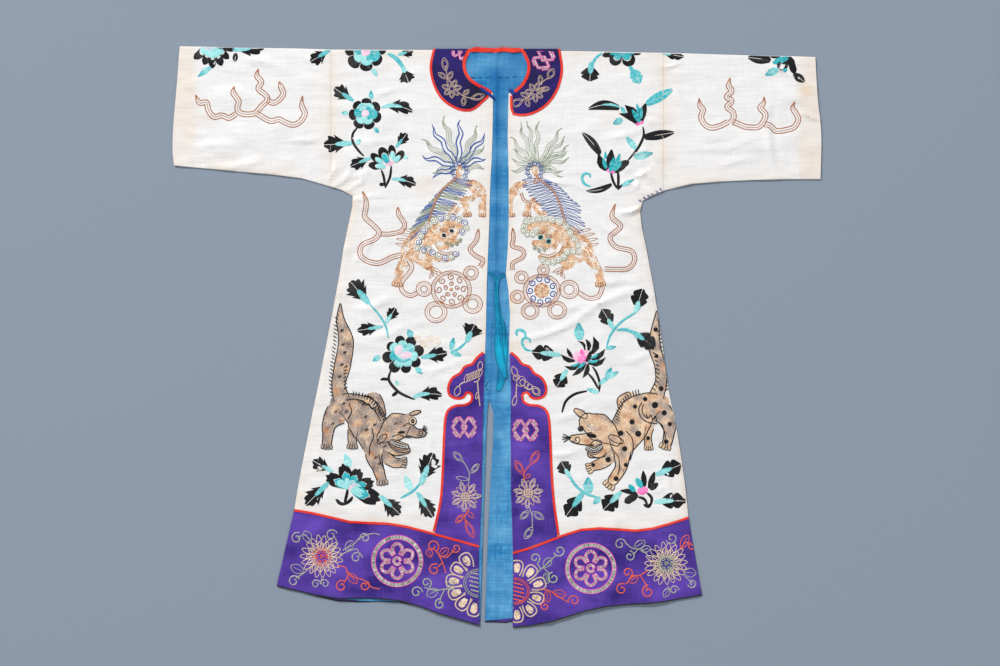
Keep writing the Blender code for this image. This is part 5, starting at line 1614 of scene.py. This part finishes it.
def sewTrim():
    def coil(rows):
        # x, y, half width, half height, degrees
        angle = np.linspace(0, 2 * math.pi, 17)
        for x, y, wide, high, degrees in rows:
            oval = px2mm * (wide * np.cos(angle) + 1j * high * np.sin(angle)) * turned(degrees)
            couch("gold", at(x, y) + oval, 1.7, 0.45)

    def sprig(x, y, turn):
        # A flower of double loops, long and short, round a lattice
        outlineFlower("gold", at(x, y), 7, 8, 33, 9.5, turn, 0.6, "loop", 1.6)
        outlineFlower("gold", at(x, y), 7, 8, 27, 7, turn + 26, 0.35, "", 1.5)
        for part in range(9):
            ring("gold", at(x, y) + complex((part % 3 - 1) * 5.2, (part // 3 - 1) * 5.2), 2.4, tone=0.5)

    sewOn("border_left")
    coil([(466.5 + 2.7 * index, 378.4 - 1.1 * index, 1.9, 4.2, -18) for index in range(6)])
    tendrils("gold", (((465, 382), (461.5, 383.5), (458.6, 386.5)), ((477.6, 382), (478.6, 394), (480, 406)),
                      ((474, 382), (478, 381), (479.6, 378))), (),
             ((479.6, 371, 480.8, 361.5, 4.5, ""), (459, 386, 456, 396, 5.5, ""), (478, 392, 476.2, 399, 2.5, "")))
    lozengePair(at(464.2, 427), 50, 90)
    tendrils("silver", (((468.4, 485), (469.2, 478), (469.2, 472.6), (466, 465.5), (462.4, 460.4)),), (),
             ((462.6, 461, 453.6, 452.4, 6, "loop"), (471, 473, 478.8, 464, 5, "loop"),
              (468.6, 479.6, 456, 477.4, 3.6, "")))
    sprig(465.4, 497, 4)
    tendrils("vermilion", (((468.6, 509), (465, 517.2), (467, 523.6)),), (),
             ((464.2, 514.4, 455.8, 522.6, 5, "loop"), (467, 511.6, 474, 517.4, 3.6, ""),
              (465.6, 520.6, 473.8, 537.4, 6.4, "loop")))
    sewOn("border_right")
    coil(((521, 381.4, 4.6, 5, 0), (522.5, 382.5, 2.6, 3, 0), (516.5, 377.5, 3.4, 2.6, 20), (526.5, 384.6, 2.2, 3, 0),
          (529.6, 386.6, 2.6, 2.6, 0)))
    tendrils("gold", (((516.6, 384), (516.4, 390), (516, 396)), ((524, 387), (529, 389.6), (533, 387.6))), (),
             ((516.8, 377, 512.6, 366.6, 5, ""), (532.4, 386.8, 539.4, 395, 6.6, "loop"),
              (516, 395.6, 513.4, 405.8, 4, "")))
    lozengePair(at(525.5, 430), 52, 90)
    tendrils("vermilion", (((524.4, 481), (523.8, 474), (526.5, 469), (531.3, 463.6)),), (),
             ((531, 464, 538.4, 451.2, 6.8, "loop"), (523.4, 474, 515.2, 460.6, 6, "loop"),
              (525.4, 478, 530.2, 474.2, 3.2, "")))
    sprig(528.1, 493, 12)
    tendrils("silver", (((529.6, 507), (532, 516), (532.4, 527.6)),), (),
             ((529, 510.6, 520.3, 518.8, 5.4, "loop"), (532.4, 511.8, 543.6, 518.8, 6, "loop"),
              (532.4, 527, 524.8, 538.6, 6.4, "loop")))

    sewOn("hem_band_front_left")
    chrysanthemum(at(322, 556.5), 46, "vermilion", 9)
    tendrils("silver", (
        ((313, 544), (309, 538), (303, 534.5), (297.5, 539)), ((333, 548), (337, 543), (334, 535)),
        ((340, 555), (349, 551), (357, 549), (360, 556)),
        ((343, 549.9), (354, 544), (360, 538), (372, 533.5), (380, 534.5)), ((311, 566), (304, 573), (296, 578)),
        ((322, 577), (321, 584)),
    ), ((297, 538, 5, 60, 1), (331.6, 535, 5, 20, 1), (356.5, 557.5, 5, 0, 1), (365, 538, 4.5, 200, -1),
        (294, 581, 5, 20, 1),
        (316, 584, 4, 0, 1), (325, 583.6, 4, 180, -1)),
        ((310, 542, 305, 531, 7), (346, 550, 353, 541, 6), (304, 572, 291, 566, 7)))
    tendrils("vermilion", (((337, 566), (345, 567), (348, 575), (344, 583)),
                           ((346, 571), (354, 577), (364, 580), (372, 587), (380, 588.7))),
             ((341.5, 586, 5, 60, 1), (364.5, 585.5, 4.5, 60, -1)), ((348, 573, 357, 583, 6),))
    roundel(at(397.3, 560.9), 26.5 * px2mm)
    tendrils("vermilion", (((446, 573), (442, 561), (437, 552), (434, 549)), ((442, 563), (438, 567)),
                           ((440, 556), (447, 557), (454, 550))),
             ((432.8, 546, 5.5, -60, 1), (434.5, 569.5, 5, 60, 1), (456, 548, 4, 200, 1)),
             ((440, 556, 448, 548, 6), (431, 557, 428, 549, 5)))
    tendrils("sage", (((455, 589), (445, 589), (434, 590), (424, 587)), ((445, 589), (441, 597), (440, 603))),
             ((416.6, 592, 5, 0, 1), (426.5, 582.5, 4.5, -60, 1), (440, 604, 4.5, 90, 1)),
             ((438, 590, 427, 595, 7), (448, 589, 452, 580, 5)))
    halfFlower(at(479, 583), 33 * px2mm, "sage", 119, 259)
    sewOn("hem_band_front_right")
    halfFlower(at(515, 591), 31 * px2mm, "vermilion", -85, 85)
    tendrils("sage", (((536, 574), (542, 568), (549, 562), (556, 555)), ((543, 567), (550, 574)),
                      ((541, 569), (537, 563))), ((535, 558, 4.5, -60, 1), (559.5, 550.5, 5, 200, 1),
                                                  (553.5, 578, 5, 100, 1)),
             ((544, 567, 551, 558, 6), (545, 573, 548, 583, 5)))
    tendrils("vermilion", (((538, 589), (548, 590), (558, 596), (568, 602)),),
             ((574, 600.5, 5, 200, -1), (545, 606, 4, 90, 1)), ((553, 592, 566, 595, 6), (547, 590, 548, 602, 5)))
    roundel(at(590.7, 568.2), 26 * px2mm)
    tendrils("silver", (((650, 558), (642, 550), (632, 548), (625, 542)), ((638, 549), (633, 555)),
                        ((676, 546), (674, 541))), ((620, 544, 5, 0, 1), (629.6, 556, 4.5, 90, -1),
                                                    (671.5, 538, 5, 200, 1)),
             ((634, 548, 645, 541, 6), (641, 551, 650, 547, 5)))
    chrysanthemum(at(666.2, 563.5), 46, "sage", 9)
    tendrils("vermilion", (((648, 570), (640, 575), (632, 577), (626, 584)), ((640, 575), (645, 583), (647, 590)),
                           ((680, 549), (686, 542), (692, 545))),
             ((627.5, 572.5, 4.5, -60, 1), (621.5, 589, 5, 60, 1), (648, 591.5, 5.5, 90, 1),
              (692, 546.5, 3.5, 60, 1)), ((638, 576, 629, 582, 6), (681, 548, 688, 535, 6)))
    tendrils("silver", (((683, 574), (689, 580), (693, 583)), ((668, 586), (670, 592))),
             ((692, 583, 4, 200, 1), (674, 590, 4, 0, 1)), ((684, 572, 696, 573, 7), (669, 588, 664, 597, 5)))

    sewOn("collar_left")
    outlineFlower("gold", at(451.8, 89), 7, 4, 21, 9.5, 10, 0.65, "loop", 1.1)
    tendrils("gold", (((445.5, 66), (446.5, 72), (448, 79)), ((459, 93), (464, 96.5), (471, 98.5)),
                      ((471, 98.5), (478, 99.5))), (), ((446, 71, 444, 58, 6, "loop"),
                                                        (447, 79, 438.5, 73, 4.5, "loop"),
                                                        (448, 80, 452.5, 72, 4.5, "loop"),
                                                        (463, 95.5, 469, 90, 4, "loop"),
                                                        (464, 96.5, 463.5, 106, 4.5, "loop"),
                                                        (471, 98.8, 484.5, 95.5, 6, "loop")), cord=1.6)
    lozengePair(at(460.3, 52), 34, 65)
    sewOn("collar_right")
    outlineFlower("gold", at(535, 92.6), 7, 4, 21, 9.5, 20, 0.65, "loop", 1.1)
    tendrils("gold", (((539, 86), (544, 81), (549, 78)), ((529, 97), (525, 99), (521, 101))), (),
             ((548, 79, 553.5, 69, 6.5, "loop"), (541, 85, 540, 75.5, 4.5, "loop"),
              (540, 90, 549.5, 88.5, 4.5, "loop"), (529, 97, 520.5, 93.5, 4.5, "loop"),
              (526, 99, 529, 107, 4.5, "loop"), (523, 100, 511, 106, 7, "loop")), cord=1.6)
    lozengePair(at(543.5, 59), 46, -30)


def chrysanthemum(centre, radius, heart, heartSize):
    # Narrow double petals in two uneven rings round a laid heart
    outlineFlower("gold", centre, 19, radius * 0.46, radius, radius * 0.2, 6, 0.6, "", 1.6)
    raiseTo(0.3)
    outlineFlower("gold", centre, 13, radius * 0.3, radius * 0.76, radius * 0.24, 14, 0.7, "vein", 1.7)
    ring(heart, centre, heartSize * px2mm, tone=0.3)
    for index in range(7):
        far = heartSize * px2mm * 0.64 if index else 0
        curl(heart, around(centre, far, 60 * index), 5, 1.3, 72 * index, width=2.3, tone=0.35)
    raiseTo(0)


def halfFlower(centre, radius, heart, first, last):
    # A flower cut by the front edge: round petals, open at the foot, fan from first to last, in degrees
    petalForm = ((0.5, 0.1), (0.68, 0.17), (0.86, 0.18), (0.97, 0.1), (0.97, -0.1), (0.86, -0.18), (0.68, -0.17),
                 (0.5, -0.1))
    for index in range(6):
        way = radius * cmath.rect(dice.uniform(0.96, 1.04), math.radians(first + (last - first) * index / 5))
        couch("gold", centre + smooth([way * complex(*part) for part in petalForm], 1.9), 3.0, 0.5, paired=True)
        inside = smooth([way * complex(0.76 + (part[0] - 0.76) * 0.62, part[1] * 0.55) for part in petalForm], 1.5)
        fillShape((("gold", 0.9),), centre + inside, math.degrees(cmath.phase(way)) + 70, 1.5, 2.2, 0.75, 0.3)
    for share in (0.46, 0.4):
        ring(heart, centre, radius * share, squash=0.92, tone=0.35)
    for index in range(-2, 3):
        reach = radius * 0.3 * math.sqrt(1 - (index / 3.4) ** 2)
        across = centre + 1j * radius * 0.13 * index
        couch(heart, evenly([across - reach * (1 - 0.25j), across + reach * (1 - 0.25j)], 2), 3.0, 0.5, paired=True)


def runStitches(kind, rows, stitchLength, gap, cord):
    # A running stitch along a line. Length and gap are in steps of 1 mm
    line = evenly(drawn(rows, 1.0), 1.0)
    for first in range(0, len(line) - stitchLength, stitchLength + gap):
        reach = line[first : first + max(3, int(stitchLength * dice.uniform(0.6, 1)))]
        couch(kind, reach, cord, 0.1)


def sewMends():
    # Dark running stitches in the neck, mends at the vent and the armhole
    for side, rows in (("left", ((471, 77.5), (478, 78), (486, 77.6), (491, 76.4), (495.5, 77.4))),
                       ("right", ((498, 77), (502, 78), (509, 77.6), (516, 76.8), (522, 77)))):
        sewOn("lining_" + side)
        runStitches("black", rows, 13, 3, 1.2)
    sewOn("lining_left")
    for rows in (((488.8, 381.6), (486.4, 384), (486.2, 388), (488.4, 390.4)), ((487, 393.4), (489.6, 394.2))):
        couch("black", evenly(drawn(rows, 1.6), 1.6), 1.5, 0.1)
    sewOn("front_right")
    for x, y in ((638.4, 200.4), (642.8, 197.6), (647.2, 196), (650.8, 194.4), (655.4, 191.6), (659, 189.2)):
        for shift in (0, 1.2):
            couch("royal", evenly([at(x + shift, y - 0.6), at(x + shift + 2, y + 1.6)], 1.6), 1.5, 0.0)


sewFrontLeft()
sewFrontRight()
sewSleeves()
sewLion("left")
sewLion("right")
sewBalls()
sewBeast("left")
sewBeast("right")
sewTrim()
sewMends()
print("motifs sewn:", sum(store["count"] for store in sewn.values()), "points")

# Lay the sewing on the cloth below it, one mesh for each place and thread


# Height to look down from, how far sewing stays below the shoulder fold, and what is left out: the faces
# that are steeper or smaller than this. All in mm
laying = {"castFrom": 50, "belowFold": 1.2, "steepest": 3, "smallestFace": 0.02}


def castOnCloth(cloth, points):
    # Height of the cloth's top under each place in mm, or nan beside it
    mesh = cloth.data
    tree = BVHTree.FromPolygons([v.co for v in mesh.vertices], [list(p.vertices) for p in mesh.polygons])
    down = Vector((0, 0, -1))
    heights = np.full(len(points), np.nan)
    for index, spot in enumerate(points):
        hit = tree.ray_cast(Vector((spot.real * mm, spot.imag * mm, laying["castFrom"] * mm)), down)[0]
        if hit is not None:
            heights[index] = hit.z / mm
    return heights


def laySewing():
    threadMaterials = {name: makeThread(name, *values[1:]) for name, values in threadKinds.items()}
    total = 0
    for (place, kind), store in sewn.items():
        spots = np.concatenate(store["points"])
        spots = spots.real + 1j * np.minimum(spots.imag, topOf(spots.real) - laying["belowFold"])
        rise = np.concatenate(store["heights"])
        tones = np.concatenate(store["tones"])
        faces = np.concatenate(store["faces"])
        ground = castOnCloth(robePieces[place], spots)
        if place.startswith("front"):  # some plants run on over the seam
            beside = castOnCloth(robePieces[place.replace("front", "sleeve")], spots)
            ground = np.where(np.isnan(ground), beside, ground)
        corners = spots[faces]
        diagonals = (np.conj(corners[:, 2] - corners[:, 0]) * (corners[:, 3] - corners[:, 1])).imag
        keep = ~np.isnan(ground[faces]).any(axis=1) & (abs(diagonals) > laying["smallestFace"])
        keep &= abs(np.diff(ground[faces], axis=1)).max(axis=1) < laying["steepest"]
        faces, diagonals = faces[keep], diagonals[keep]
        faces[diagonals < 0] = faces[diagonals < 0][:, ::-1]
        used, faces = np.unique(faces, return_inverse=True)
        faces = faces.reshape(-1, 4)
        if not len(used):
            continue
        height = np.nan_to_num(ground[used]) + rise[used]
        points = np.column_stack([spots[used].real, spots[used].imag, height]) * mm
        mesh = bpy.data.meshes.new(f"{place}_{kind}")
        mesh.from_pydata(points.tolist(), [], faces.tolist())
        paintPoints(mesh, "tone", tones[used])
        mesh.shade_smooth()
        mesh.materials.append(threadMaterials[kind])
        piece = addObject(mesh.name, mesh)
        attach(piece, "root")
        total += len(faces)
    print("sewing laid:", total * 2, "triangles")


laySewing()

# The cut of each piece of cloth in metres: width, length and area
cuts = {
    "front_left": (0.427, 1.068, 0.354), "front_right": (0.392, 1.081, 0.345),
    "back_left": (0.436, 1.062, 0.355), "back_right": (0.430, 1.074, 0.369),
    "lining_left": (0.460, 1.221, 0.423), "lining_right": (0.453, 1.221, 0.437),
    "sleeve_left": (0.34, 0.56, 0.182), "sleeve_right": (0.34, 0.56, 0.183),
    "collar_left": (0.14, 0.265, 0.0208), "collar_right": (0.14, 0.265, 0.0210),
    "border_left": (0.106, 0.412, 0.0291), "border_right": (0.102, 0.426, 0.0304),
    "hem_band_front_left": (0.435, 0.246, 0.0694), "hem_band_front_right": (0.406, 0.234, 0.0655),
    "hem_band_back_left": (0.441, 0.233, 0.0683), "hem_band_back_right": (0.465, 0.218, 0.0680),
    "tie_left": (0.015, 0.275, 0.0038), "tie_right": (0.015, 0.235, 0.0033),
}
restsOn = {
    "front": "lining", "back": "floor", "lining": "back", "sleeve": "floor", "collar": "front", "border": "front",
    "hem_band_front": "lining", "hem_band_back": "floor", "tie": "front",
}


def declareSheets():
    for node, (width, length, area) in cuts.items():
        prefix, side = node.rsplit("_", 1)
        under = restsOn[prefix]
        under = under if under == "floor" else f"{under}_{side}_cloth"


declareSheets()
